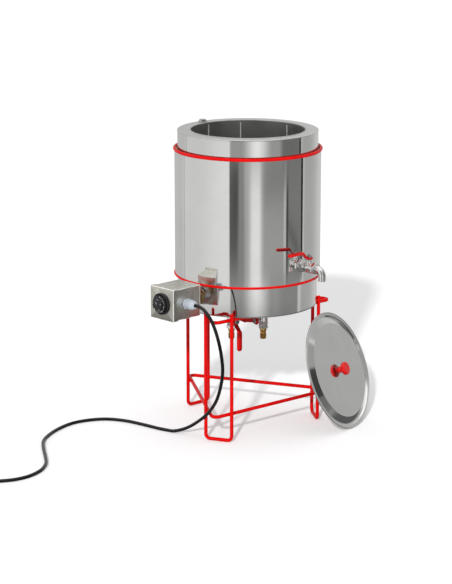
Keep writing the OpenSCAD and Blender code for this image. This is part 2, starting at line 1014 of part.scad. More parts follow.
// Pressed lid: rolled edge, flat flange, a trough that drops into the vessel, raised panel
module lid_disc() {
    t = lid_sheet / 2;
    hole_r = lid_screw_d / 2 + seat_gap;
    flange_r = roll_at - lid_flange_w;
    trough_r = roll_at * trough_in_share;
    panel_r = roll_at * panel_share;
    color("silver")
        at_lid() {
            rotate_extrude()
                polygon([[hole_r, panel_rise + t], [panel_r, panel_rise + t],
                    [trough_r, t - trough_depth], [flange_r, t], [roll_at, t],
                    [roll_at, -t], [flange_r, -t], [trough_r, -t - trough_depth],
                    [panel_r, panel_rise - t], [hole_r, panel_rise - t]]);
            rotate_extrude()
                translate([roll_at, 0]) circle(r = roll_r);
        }
}

module lid_knob() {
    color("red")
        at_lid()
            translate([0, 0, panel_rise + lid_sheet / 2])
                difference() {
                    union() {
                        cylinder(h = lid_neck_h, d = lid_neck_d);
                        translate([0, 0, lid_neck_h]) cylinder(h = lid_knob_h, d = lid_knob_d);
                    }
                    translate([0, 0, -over])
                        cylinder(h = lid_screw_in + over, d = lid_screw_d + 2 * seat_gap);
                }
}

module lid_knob_screw() {
    back = panel_rise - lid_sheet / 2;
    color("silver")
        at_lid() {
            translate([0, 0, back - lid_screw_head_h])
                cylinder(h = lid_screw_head_h, d = lid_screw_head_d);
            cylinder_from(back, back + lid_sheet + lid_screw_in, lid_screw_d);
        }
}

// A unit vector, and the vector a made square to the unit vector b
function unit(v) = v / norm(v);
function squared(a, b) = unit(a - b * (a * b));

// Directions along a path, and one sideways vector at each point that never twists
function directions(p) =
    [for (i = [0:len(p) - 1]) unit(p[min(i + 1, len(p) - 1)] - p[max(i - 1, 0)])];
function sideways(dirs, first) =
    [for (i = 0, v = squared(first, dirs[0]); i < len(dirs);
        i = i + 1, v = squared(v, dirs[min(i, len(dirs) - 1)])) v];

// A smooth curve through points, with steps new points on each span
function curve_at(a, b, c, d, t) =
    0.5 * (2 * b + (c - a) * t + (2 * a - 5 * b + 4 * c - d) * t * t
        + (3 * b - a - 3 * c + d) * t * t * t);
function smooth(p, steps) =
    concat([for (i = [0:len(p) - 2], s = [0:steps - 1])
        curve_at(p[max(i - 1, 0)], p[i], p[i + 1], p[min(i + 2, len(p) - 1)], s / steps)],
        [p[len(p) - 1]]);

// The points around each ring of a tube, and the side faces from ring i to ring j
function ring_points(path, dirs, normals, d, sides) =
    [for (i = [0:len(path) - 1], s = [0:sides - 1])
        path[i] + d / 2 * (cos(360 * s / sides) * normals[i]
            + sin(360 * s / sides) * cross(dirs[i], normals[i]))];
function side_faces(i, j, sides) =
    [for (s = [0:sides - 1], half = [0, 1])
        half == 0
        ? [i * sides + s, j * sides + s, j * sides + (s + 1) % sides]
        : [i * sides + s, j * sides + (s + 1) % sides, i * sides + (s + 1) % sides]];

// A round tube along an open path, closed at its ends
module tube(path, d, sides) {
    dirs = directions(path);
    normals = sideways(dirs, abs(dirs[0][2]) < 0.5 ? [0, 0, 1] : [1, 0, 0]);
    last = len(path) - 1;
    faces = concat(
        [[for (s = [0:sides - 1]) s]],
        [for (i = [0:last - 1]) each side_faces(i, i + 1, sides)],
        [[for (s = [sides - 1:-1:0]) last * sides + s]]);
    polyhedron(points = ring_points(path, dirs, normals, d, sides), faces = faces, convexity = 10);
}

// A round tube along a level path that comes back to its start
module closed_tube(path, d, sides) {
    count = len(path);
    dirs = [for (i = [0:count - 1]) unit(path[(i + 1) % count] - path[(i + count - 1) % count])];
    normals = [for (i = [0:count - 1]) [0, 0, 1]];
    faces = [for (i = [0:count - 1]) each side_faces(i, (i + 1) % count, sides)];
    polyhedron(points = ring_points(path, dirs, normals, d, sides), faces = faces, convexity = 10);
}

// A point of the box's side, out of the gland along its axis
function gland_point(out) = [
    (box_back + gland_back) * cos(heater_azimuth)
        - (heater_side + box_w / 2 + out) * sin(heater_azimuth),
    (box_back + gland_back) * sin(heater_azimuth)
        + (heater_side + box_w / 2 + out) * cos(heater_azimuth),
    heater_z + box_rise];
gland_exit = gland_hex_h + gland_nut_len + gland_tip_len;
cord_path = [for (p = smooth(concat(
        [gland_point(gland_exit - cord_inside), gland_point(gland_exit),
            gland_point(gland_exit + cord_straight)],
        hanging_points,
        [for (p = lying_points) [p[0], p[1], cord_r]],
        [[coil_entry[0], coil_entry[1], coil_low_z]]), cord_steps))
    [p[0], p[1], max(p[2], cord_r)]];

module supply_cord() {
    color("black") tube(cord_path, cord_d, cord_sides);
}

// The coil winds inwards on the floor, climbs and winds outwards on top of itself
coil_centre = [coil_entry[0], coil_entry[1] - coil_r];
coil_inner_r = coil_r - coil_pitch * coil_in_turns;
coil_climb_end = coil_in_turns + coil_climb_turns;
coil_turns = coil_climb_end + coil_out_turns;
function coil_radius(u) =
    u < coil_in_turns ? coil_r - coil_pitch * u
    : u < coil_climb_end ? coil_inner_r
    : coil_inner_r + coil_pitch * (u - coil_climb_end);
function coil_climb(u) = min(max((u - coil_in_turns) / coil_climb_turns, 0), 1);
function coil_height(u) =
    coil_low_z + (coil_high_z - coil_low_z) * (1 - cos(180 * coil_climb(u))) / 2;
function coil_point(u) = [
    coil_centre[0] + coil_radius(u) * cos(90 + 360 * u),
    coil_centre[1] + coil_radius(u) * sin(90 + 360 * u),
    coil_height(u)];
coil_rings = round(coil_turns * loop_rings);
coil_winding = [for (i = [0:coil_rings]) coil_point(coil_turns * i / coil_rings)];
end_azimuth = 180 + 360 * coil_turns;
end_direction = [cos(end_azimuth), sin(end_azimuth), 0];
plug_axis_z = plug_d / 2;
coil_end = coil_winding[coil_rings];
coil_tail = [for (i = [1:tail_points])
    [coil_end[0], coil_end[1], coil_high_z + (plug_axis_z - coil_high_z)
        * (1 - cos(180 * min(i / (tail_points - 1), 1))) / 2]
        + end_direction * tail_len * i / tail_points];
coil_path = concat(coil_winding, coil_tail);
coil_gaps = [for (i = [0:coil_rings - loop_rings / 2], j = [i + loop_rings / 2:coil_rings])
    norm(coil_path[i] - coil_path[j]) - cord_d];
echo(least_gap_between_turns = min(coil_gaps));
echo(supply_cord_length = path_length(cord_path) - cord_inside, coil_length = path_length(coil_path));
function path_length(p, i = 0, sum = 0) =
    i >= len(p) - 1 ? sum : path_length(p, i + 1, sum + norm(p[i + 1] - p[i]));

module cord_coil() {
    color("black") tube(coil_path, cord_d, coil_sides);
}

// Radii of the turns that pass under the tie
tie_turn = (tie_azimuth - 90) / 360;
tie_radii = [for (u = [tie_turn:1:coil_turns]) coil_radius(u)];

module coil_tie() {
    near = min(tie_radii) - cord_r - seat_gap;
    far = max(tie_radii) + cord_r + seat_gap;
    top = coil_high_z + cord_r + seat_gap;
    color("black")
        translate([coil_centre[0], coil_centre[1], 0])
            rotate([0, 0, tie_azimuth])
                difference() {
                    translate([near - tie_t, -tie_w / 2, 0])
                        cube([far - near + 2 * tie_t, tie_w, top + tie_t]);
                    translate([near, -tie_w / 2 - over, tie_t])
                        cube([far - near, tie_w + 2 * over, top - tie_t]);
                }
}

// Places children at the plug's cable end, with +Z towards the pins
module at_plug() {
    place = coil_path[len(coil_path) - 1];
    translate([place[0], place[1], plug_axis_z])
        rotate([0, 90, end_azimuth])
            children();
}

module plug_body() {
    face = plug_relief_len + plug_taper_len + plug_face_len;
    color("black")
        at_plug()
            difference() {
                union() {
                    cylinder(h = plug_relief_len, d1 = plug_relief_d, d2 = plug_grip_d);
                    translate([0, 0, plug_relief_len])
                        cylinder(h = plug_taper_len, d1 = plug_grip_d, d2 = plug_d);
                    cylinder_from(plug_relief_len + plug_taper_len, face, plug_d);
                }
                for (side = [-1, 1])
                    translate([0, side * pin_half, face - pin_in])
                        cylinder(h = pin_in + over, d = pin_d + 2 * seat_gap);
            }
}

module plug_pins() {
    face = plug_relief_len + plug_taper_len + plug_face_len;
    color("silver")
        at_plug()
            for (side = [-1, 1])
                translate([0, side * pin_half, 0])
                    cylinder_from(face - pin_in, face + pin_len, pin_d);
}

bent_leg(leg_front_azimuth);  // leg_front
bent_leg(leg_left_azimuth);  // leg_left
bent_leg(leg_right_azimuth);  // leg_right
bent_triangle(rest_z);  // rest_triangle
bent_triangle(brace_z);  // brace_triangle
jacket_shell();
jacket_base();
wax_vessel();
top_rim();
cladding_sheath();
insulation();
upper_edge_trim();
lower_edge_trim();
filler_plug();
tap_nipple();
tap_body();
tap_ball();
tap_stem();
tap_lever();
tap_nut();
tap_spout();
wax_drain_nipple();
wax_drain_body();
wax_drain_ball();
wax_drain_stem();
wax_drain_lever();
wax_drain_nut();
wax_drain_tail();
water_drain_nipple();
water_drain_body();
water_drain_ball();
water_drain_stem();
water_drain_lever();
water_drain_nut();
water_drain_tail();
heater_boss();
heater_head();
heating_element();
sensor_pocket();
box_shell();
box_cover();
cover_screws();
thermostat();
dial_bezel();
control_knob();
terminal_block();
neck_locknut();
gland_body();
gland_nut();
gland_locknut();
supply_cord();
cord_coil();
coil_tie();
plug_body();
plug_pins();
lid_disc();
lid_knob();
lid_knob_screw();
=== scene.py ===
"""Looks of a water-jacketed candle wax melter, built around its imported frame.

Sizes are millimetres until a mesh is made, and the frame's own axes are used throughout: +Z up,
the origin on the floor under the tank, the front towards -Y. Every shape is a grid of points that
numpy works out from two parameters, and a Skin joins such grids into one closed mesh.
"""

from __future__ import annotations

import logging
import math
from dataclasses import dataclass, replace
from enum import Enum

import bmesh
import bpy
import numpy as np
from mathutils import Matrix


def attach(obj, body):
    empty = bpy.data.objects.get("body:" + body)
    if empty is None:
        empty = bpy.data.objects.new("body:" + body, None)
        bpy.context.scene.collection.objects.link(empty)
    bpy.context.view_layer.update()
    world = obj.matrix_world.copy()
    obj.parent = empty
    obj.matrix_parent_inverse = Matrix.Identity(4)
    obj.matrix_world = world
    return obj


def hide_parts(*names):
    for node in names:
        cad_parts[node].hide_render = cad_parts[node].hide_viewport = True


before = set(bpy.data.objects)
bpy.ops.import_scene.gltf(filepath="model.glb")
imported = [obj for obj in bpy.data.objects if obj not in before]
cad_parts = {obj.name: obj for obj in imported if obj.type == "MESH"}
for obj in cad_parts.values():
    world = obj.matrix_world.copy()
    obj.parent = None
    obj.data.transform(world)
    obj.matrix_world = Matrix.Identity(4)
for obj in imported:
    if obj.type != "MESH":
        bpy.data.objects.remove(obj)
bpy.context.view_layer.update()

log = logging.getLogger("wax_melter")

MM = 0.001  # metres in a millimetre
TURN = 2 * math.pi
DEGREES = 360 / TURN  # degrees in a radian
SAME = 1e-6  # millimetres within which two points of a path are one
MERGE = 2e-6  # metres within which two points of a mesh are merged
SLIVER = 1e-7  # metres under which an edge is dissolved
Array = np.ndarray
Point = tuple[float, float, float]


# Shapes


def unit(v: Array) -> Array:
    """Each vector divided by its length."""
    return v / np.linalg.norm(v, axis=-1, keepdims=True)


def polar(azimuth: float) -> Array:
    """The level unit vector at an azimuth in degrees from +X."""
    a = math.radians(azimuth)
    return np.array([math.cos(a), math.sin(a), 0.0])


def quarter_turn(count: int) -> Array:
    """A number of angles from 0 to a quarter turn."""
    return np.linspace(0, TURN / 4, count)


def whole_turn(count: int) -> Array:
    """A number of angles evenly round a whole turn, starting from 0."""
    return np.arange(count) * TURN / count


def superellipse(sides: int, power: float) -> tuple[Array, Array]:
    """The two coordinates of a superellipse that fills the square from -1 to 1.

    For the angle t they are c(cos t) and c(sin t), where c(u) is sign(u) |u|^(2 / power).

    Args:
        sides: points round it.
        power: 2 for a circle, more for a squarer line.

    Returns:
        The first and the second coordinate of every point.
    """
    t = whole_turn(sides)
    c, s = np.cos(t), np.sin(t)
    return np.sign(c) * np.abs(c) ** (2 / power), np.sign(s) * np.abs(s) ** (2 / power)


def distinct(path: Array) -> Array:
    """A mask that leaves out each point of a path that repeats the one before it."""
    return np.append(True, np.linalg.norm(np.diff(path, axis=0), axis=1) > SAME)


def capped(grid: Array) -> Array:
    """A grid with rows at the middles of its first and last rings, so that its ends close."""
    ends = [ring.mean(axis=1, keepdims=True) + 0 * ring for ring in (grid[:1], grid[-1:])]
    return np.concatenate([ends[0], grid, ends[1]])


@dataclass(frozen=True)
class Place:
    """Where a shape stands: an origin in millimetres and three unit axes."""

    origin: Point = (0.0, 0.0, 0.0)
    x: Point = (1.0, 0.0, 0.0)
    y: Point = (0.0, 1.0, 0.0)
    z: Point = (0.0, 0.0, 1.0)

    def put(self, points: Array) -> Array:
        """Local points in the frame: origin + px X + py Y + pz Z."""
        axes = np.array([self.x, self.y, self.z])
        return np.asarray(points, float) @ axes + np.array(self.origin)

    def moved(self, x: float = 0.0, y: float = 0.0, z: float = 0.0) -> Place:
        """The place shifted along its own axes."""
        return replace(self, origin=tuple(self.put(np.array([x, y, z]))))

    def spun(self, angle: float) -> Place:
        """The place turned about its own Z.

        Args:
            angle: how far it turns, in degrees from its X towards its Y.

        Returns:
            The turned place.
        """
        c, s = math.cos(math.radians(angle)), math.sin(math.radians(angle))
        x, y = np.array(self.x), np.array(self.y)
        return replace(self, x=tuple(c * x + s * y), y=tuple(c * y - s * x))

    def laid(self) -> Place:
        """The place tipped so that its Z points along what was its X."""
        return replace(self, x=tuple(-np.array(self.z)), z=self.x)

    def upended(self) -> Place:
        """The place turned over about its own X."""
        return replace(self, y=tuple(-np.array(self.y)), z=tuple(-np.array(self.z)))

    @staticmethod
    def facing(azimuth: float, reach: float, height: float, side: float = 0.0) -> Place:
        """A place at a reach from the tank's axis, with X pointing outwards along an azimuth.

        Args:
            azimuth: direction in degrees from +X.
            reach: distance out from the axis.
            height: distance above the floor.
            side: distance along the place's own Y.

        Returns:
            The place, with its Z upwards.
        """
        out, over = polar(azimuth), polar(azimuth + 90)
        origin = reach * out + side * over + np.array([0, 0, height])
        return Place(tuple(origin), tuple(out), tuple(over))


def rounded(points: Array, radius: float | Array, steps: int = 4, closed: bool = True) -> Array:
    """A path whose corners are circular arcs.

    With tau the angle that the path turns at a corner B, the arc starts and ends at P and Q,
    radius tan(tau / 2) from B, and is the rational curve ((1-t)^2 P + 2wt(1-t) B + t^2 Q) divided
    by ((1-t)^2 + 2wt(1-t) + t^2), where w = cos(tau / 2). An arc takes at most 0.45 of a side.

    Args:
        points: the corners, one row each.
        radius: one radius, or one for each corner.
        steps: pieces in each arc.
        closed: whether the last corner joins the first.

    Returns:
        The points of the rounded path.
    """
    p = np.asarray(points, float)
    r = np.broadcast_to(np.asarray(radius, float), len(p)).copy()
    if not closed:
        r[[0, -1]] = 0.0
    back, ahead = np.roll(p, 1, 0) - p, np.roll(p, -1, 0) - p
    near = np.maximum(np.linalg.norm(back, axis=1), 1e-9)
    far = np.maximum(np.linalg.norm(ahead, axis=1), 1e-9)
    turn = np.clip(-np.sum(back * ahead, axis=1) / (near * far), -0.999, 1.0)
    cut = np.minimum(r * np.sqrt((1 - turn) / (1 + turn)), 0.45 * np.minimum(near, far))
    start = p + back * (cut / near)[:, None]
    end = p + ahead * (cut / far)[:, None]
    weight = np.sqrt((1 + turn) / 2)[:, None, None]
    t = np.linspace(0, 1, steps + 1)[None, :, None]
    a, b, c = (1 - t) ** 2, 2 * weight * t * (1 - t), t**2
    arc = (a * start[:, None] + b * p[:, None] + c * end[:, None]) / (a + b + c)
    return arc.reshape(-1, p.shape[1])


def turned(
    profile: Array, sides: int = 64, flats: float | None = None, flutes: tuple | None = None
) -> Array:
    """A profile carried round the Z axis.

    The profile point (r, z) and the angle t give (q cos t, q sin t, z). Plain work has q = r. With
    flats, q is at most (flats / 2) / cos((t mod 60) - 30), the edge of a hexagon with a corner at
    t = 0. With flutes (count, depth, low, high), q is less by depth (1 + cos(count t)) / 2 where z
    lies between low and high.

    Args:
        profile: rows of radius and height.
        sides: points round the axis, a multiple of 12 where there are flats.
        flats: width across the flats of the hexagon that limits the shape.
        flutes: count, depth and the heights between which the flutes are cut.

    Returns:
        A grid with one row for each profile point.
    """
    r, z = np.asarray(profile, float).T
    t = whole_turn(sides)
    q = np.repeat(r[:, None], sides, axis=1)
    if flats is not None:
        edge = flats / 2 / np.cos(np.mod(t, TURN / 6) - TURN / 12)
        q = np.minimum(q, edge[None, :])
    if flutes is not None:
        count, depth, low, high = flutes
        cut = depth * (1 + np.cos(count * t)) / 2
        q = q - np.where((z > low) & (z < high), 1.0, 0.0)[:, None] * cut[None, :]
    return np.stack([q * np.cos(t), q * np.sin(t), np.repeat(z[:, None], sides, axis=1)], axis=-1)


def nut_profile(flats: float, low: float, high: float, bore: float) -> Array:
    """Half section of a hexagon nut with a hole, turned down at its ends at 30 degrees.

    The radius grows from 0.48 flats at an end face to the corners' radius flats / sqrt(3) along a
    straight line that drops tan(30) for each unit, sampled in five steps so that it leaves the
    curved edges of a real nut where it meets the flats.

    Args:
        flats: width across the flats.
        low: height of the lower face.
        high: height of the upper face.
        bore: radius of the hole.

    Returns:
        The closed section, rows of radius and height.
    """
    corner, face = flats / math.sqrt(3), 0.48 * flats
    drop = (corner - face) * math.tan(math.radians(30))
    share = np.linspace(0, 1, 6)
    rise = np.stack([face + (corner - face) * share, low + drop * share], axis=1)
    fall = np.stack([corner - (corner - face) * share, high - drop + drop * share], axis=1)
    return np.concatenate([[[bore, low]], rise, fall, [[bore, high]]])


def ring_section(inner: float, outer: float, low: float, high: float, ease: float = 0.4) -> Array:
    """The closed half section of a ring or pipe, with eased corners."""
    corners = [[inner, low], [outer, low], [outer, high], [inner, high]]
    return rounded(np.array(corners), ease, 3)


def domed(path: Array, radius: float, steps: int = 5) -> tuple[Array, Array]:
    """A path made longer at both ends by the rings of a half ball.

    The ring at angle a is radius sin(a) beyond the end, and its own radius is radius cos(a).

    Args:
        path: the points of the line.
        radius: radius of the rod.
        steps: rings in each dome.

    Returns:
        The longer path, and the radius at each of its points.
    """
    a = quarter_turn(steps + 1)[1:]
    head = path[0] + unit(path[0] - path[1]) * (radius * np.sin(a[::-1]))[:, None]
    tail = path[-1] + unit(path[-1] - path[-2]) * (radius * np.sin(a))[:, None]
    radii = [radius * np.cos(a[::-1]), np.full(len(path), radius), radius * np.cos(a)]
    return np.concatenate([head, path, tail]), np.maximum(np.concatenate(radii), 0.0)


def rod(
    path: Array, radius: float | Array, normal: Point, sides: int = 24, loop: bool = False
) -> Array:
    """A round rod along a path that stays in one plane.

    With T the path's direction, B the plane's normal and N = B x T, the angle t gives the point
    path + radius (cos t N + sin t B).

    Args:
        path: the points of the centre line.
        radius: one radius, or one for each point.
        normal: unit normal of the path's plane.
        sides: points round the rod.
        loop: whether the path comes back to its start.

    Returns:
        A grid with one row for each point of the path.
    """
    r = np.broadcast_to(np.asarray(radius, float), len(path))
    if loop:
        along = unit(np.roll(path, -1, 0) - np.roll(path, 1, 0))
    else:
        along = unit(np.gradient(path, axis=0))
    b = np.array(normal, float)
    n = np.cross(b, along)
    t = whole_turn(sides)
    circle = np.cos(t)[None, :, None] * n[:, None, :] + np.sin(t)[None, :, None] * b
    return path[:, None, :] + r[:, None, None] * circle


def bar(
    path: Array, width: Array, height: Array, across: Point, power: float, sides: int
) -> Array:
    """A flat bar along a path in one plane, with a superellipse for its section.

    With Y the plane's normal, N square to the path in the plane and (c, s) the points of a
    superellipse, a point is path + width / 2 c Y + height / 2 s N.

    Args:
        path: the points of the centre line.
        width: size along Y at each point.
        height: size along N at each point.
        across: the unit vector Y.
        power: 2 for an ellipse, more for a squarer section.
        sides: points round the section.

    Returns:
        A grid with one row for each point of the path.
    """
    y = np.array(across, float)
    n = unit(np.cross(np.gradient(path, axis=0), y))
    c, s = superellipse(sides, power)
    side = (width / 2)[:, None, None] * c[None, :, None] * y
    rise = (height / 2)[:, None, None] * s[None, :, None] * n[:, None, :]
    return path[:, None, :] + side + rise


def boxed(levels: Array, corner: float, steps: int = 4) -> Array:
    """Rounded rectangles stacked along Z, one for each level.

    A level (z, half width, half depth) gives a rectangle in X and Y whose corners are arcs. The
    arcs shrink with the rectangle, so a level of no size is a closed end.

    Args:
        levels: rows of height, half width along X and half depth along Y.
        corner: radius of the upright edges.
        steps: pieces in each arc.

    Returns:
        A grid with one row for each level.
    """
    z, w, d = np.asarray(levels, float).T
    a = quarter_turn(steps + 1)
    turn = (a[None, :] + np.arange(4)[:, None] * TURN / 4).ravel()
    sx = np.repeat([1.0, -1.0, -1.0, 1.0], steps + 1)
    sy = np.repeat([1.0, 1.0, -1.0, -1.0], steps + 1)
    r = np.minimum(corner, np.minimum(w, d))[:, None]
    x = sx * (w[:, None] - r) + r * np.cos(turn)
    y = sy * (d[:, None] - r) + r * np.sin(turn)
    return np.stack([x, y, np.repeat(z[:, None], len(turn), axis=1)], axis=-1)


def brick(width: float, depth: float, height: float, ease: float) -> Array:
    """A block standing on Z = 0, with its upper and lower edges rounded too.

    An edge's points lie ease (1 - cos a) from the end face and ease (1 - sin a) inside the sides.

    Args:
        width: size along X.
        depth: size along Y.
        height: size along Z.
        ease: radius of the upper and lower edges, and half that of the upright ones.

    Returns:
        A grid with one row for each level.
    """
    a = quarter_turn(4)
    level, inside = ease * (1 - np.cos(a)), ease * (1 - np.sin(a))
    half = np.stack([width / 2 - inside, depth / 2 - inside], axis=1)
    low = np.column_stack([level, half])
    high = np.column_stack([height - level, half])[::-1]
    return boxed(np.concatenate([[[0.0, 0.0, 0.0]], low, high, [[height, 0.0, 0.0]]]), ease * 2)


def screw_profile(
    head: float, rise: float, shank: float, length: float, lip: float, dish: list[list[float]]
) -> Array:
    """Half section of a pan-headed screw with a dished recess, its head's seat at height 0.

    The head's outline is (head cos(a)^0.6, rise sin(a)) for the angle a from 0 to a quarter turn.

    Args:
        head: radius of the head.
        rise: height of the head.
        shank: radius of the shank.
        length: length of the shank.
        lip: radius of the recess at the top of the head.
        dish: the recess's own points, rows of radius and height.

    Returns:
        The section, rows of radius and height.
    """
    a = quarter_turn(6)
    pan = np.stack([head * np.cos(a) ** 0.6, rise * np.sin(a)], axis=1)
    pan[-1, 0] = lip
    return np.concatenate([[[0, -length], [shank, -length], [shank, 0], [head, 0]], pan, dish])


def linked(name: str, data: bpy.types.ID) -> bpy.types.Object:
    """Makes an object in the scene.

    Args:
        name: the object's name.
        data: the mesh, curve, camera or light that it holds.

    Returns:
        The object.
    """
    made = bpy.data.objects.new(name, data)
    bpy.context.scene.collection.objects.link(made)
    return made


class Skin:
    """Collects grids of points and makes them one closed, outward-facing mesh."""

    def __init__(self, name: str) -> None:
        """Starts an empty skin.

        Args:
            name: the piece's name.
        """
        self.name = name
        self.points: list[Array] = []
        self.quads: list[Array] = []
        self.count = 0

    def grid(self, points: Array, loop: bool = False, place: Place = Place()) -> Skin:
        """Adds a grid of points as quads; each row always closes on itself.

        Args:
            points: rows of points, in the place's own axes.
            loop: whether the last row joins the first.
            place: where the grid stands.

        Returns:
            This skin.
        """
        rows, columns = points.shape[:2]
        i = np.arange(rows if loop else rows - 1)[:, None]
        j = np.arange(columns)[None, :]
        k, m = (i + 1) % rows, (j + 1) % columns
        quad = [i * columns + j, k * columns + j, k * columns + m, i * columns + m]
        self.quads.append(np.stack(quad, axis=-1).reshape(-1, 4) + self.count)
        self.points.append(place.put(points.reshape(-1, 3)))
        self.count += rows * columns
        return self

    def turn(self, profile: Array, place: Place, sides: int = 64, flats: float | None = None,
             flutes: tuple | None = None) -> Skin:
        """Adds a closed section turned about the place's Z."""
        return self.grid(turned(profile, sides, flats, flutes), True, place)

    def knob(self, profile: Array, place: Place, sides: int = 64, flats: float | None = None,
             flutes: tuple | None = None) -> Skin:
        """Adds a section that starts and ends on the place's Z, turned about it."""
        return self.grid(turned(profile, sides, flats, flutes), False, place)

    def piece(self, finish: Finish, sharp: float = 32.0) -> bpy.types.Object:
        """Makes the mesh object and dresses it.

        Args:
            finish: the material's recipe.
            sharp: edges that turn by more degrees than this stay sharp.

        Returns:
            The object, at the origin, in metres.
        """
        mesh = bpy.data.meshes.new(self.name)
        points = np.concatenate(self.points) * MM
        mesh.from_pydata(points.tolist(), [], np.concatenate(self.quads).tolist())
        work = bmesh.new()
        work.from_mesh(mesh)
        bmesh.ops.remove_doubles(work, verts=work.verts, dist=MERGE)
        bmesh.ops.dissolve_degenerate(work, edges=work.edges, dist=SLIVER)
        bmesh.ops.recalc_face_normals(work, faces=work.faces)
        work.to_mesh(mesh)
        work.free()
        mesh.shade_smooth()
        mesh.set_sharp_from_angle(angle=math.radians(sharp))
        mesh.materials.append(finish.material())
        return linked(self.name, mesh)


def settle(piece: bpy.types.Object, body: str, slot: str, *nodes: str) -> bpy.types.Object:
    """Ties a piece to its body, and lets it stand for CAD nodes.

    Args:
        piece: the finished object.
        body: the CAD body that it rides on.
        slot: not used.
        nodes: the CAD nodes that it stands for, if any.

    Returns:
        The same object.
    """
    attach(piece, body)
    if nodes:
        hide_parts(*nodes)
    log.info("%s rides on %s", piece.name, body)
    return piece


# Finishes


class Grain(Enum):
    """How the fine lines of a finish run."""

    SPECKLE = "speckle"
    LEVEL = "level"
    ROUND = "round"


def linear(value: float) -> float:
    """A grey from 0 to 255 as the eye sees it, as a light level."""
    v = value / 255
    return v / 12.92 if v <= 0.04045 else ((v + 0.055) / 1.055) ** 2.4


def colour(red: float, green: float, blue: float) -> tuple[float, float, float, float]:
    """A colour from three values of 0 to 255 as the eye sees them."""
    return linear(red), linear(green), linear(blue), 1.0


def grey(tone: float) -> tuple[float, float, float, float]:
    """A grey from 0 to 255 with the least touch of warmth."""
    return colour(tone, tone, tone - 1)


PURE_WHITE = (1.0, 1.0, 1.0, 1.0)
PATCH_SHARE, FINE_SHARE = 0.65, 0.35  # of the coarse and the fine noise in a finish
TINT_RANGE = (0.35, 0.65)  # of the noise over which the two colours mix
GLOSS_RANGE = (0.3, 0.7)  # of the noise over which the roughness grows
DRAWN_OUT = (0.02, 0.02, 1.0)  # how level grain stretches its noise
ARC_GRAIN = 0.004  # metres of noise for each radian of round grain
SWELL_SCALE, SWELL_DEPTH = 9.0, 0.001  # of the slow waves in polished sheet
COAT_ROUGHNESS = 0.06
# A painted highlight along the case's folded edges, near-white and less metallic, for the light
# that the folds catch
PAINTED_HIGHLIGHT = colour(250, 249, 243)
PAINTED_HIGHLIGHT_METAL = 0.6
PAINTED_HIGHLIGHT_REACH = (-0.0028, -0.0012)  # metres below an edge where the painted highlight starts and is full
PAINTED_HIGHLIGHT_UNEVEN = 0.006  # metres by which the coarse noise shifts the painted highlight
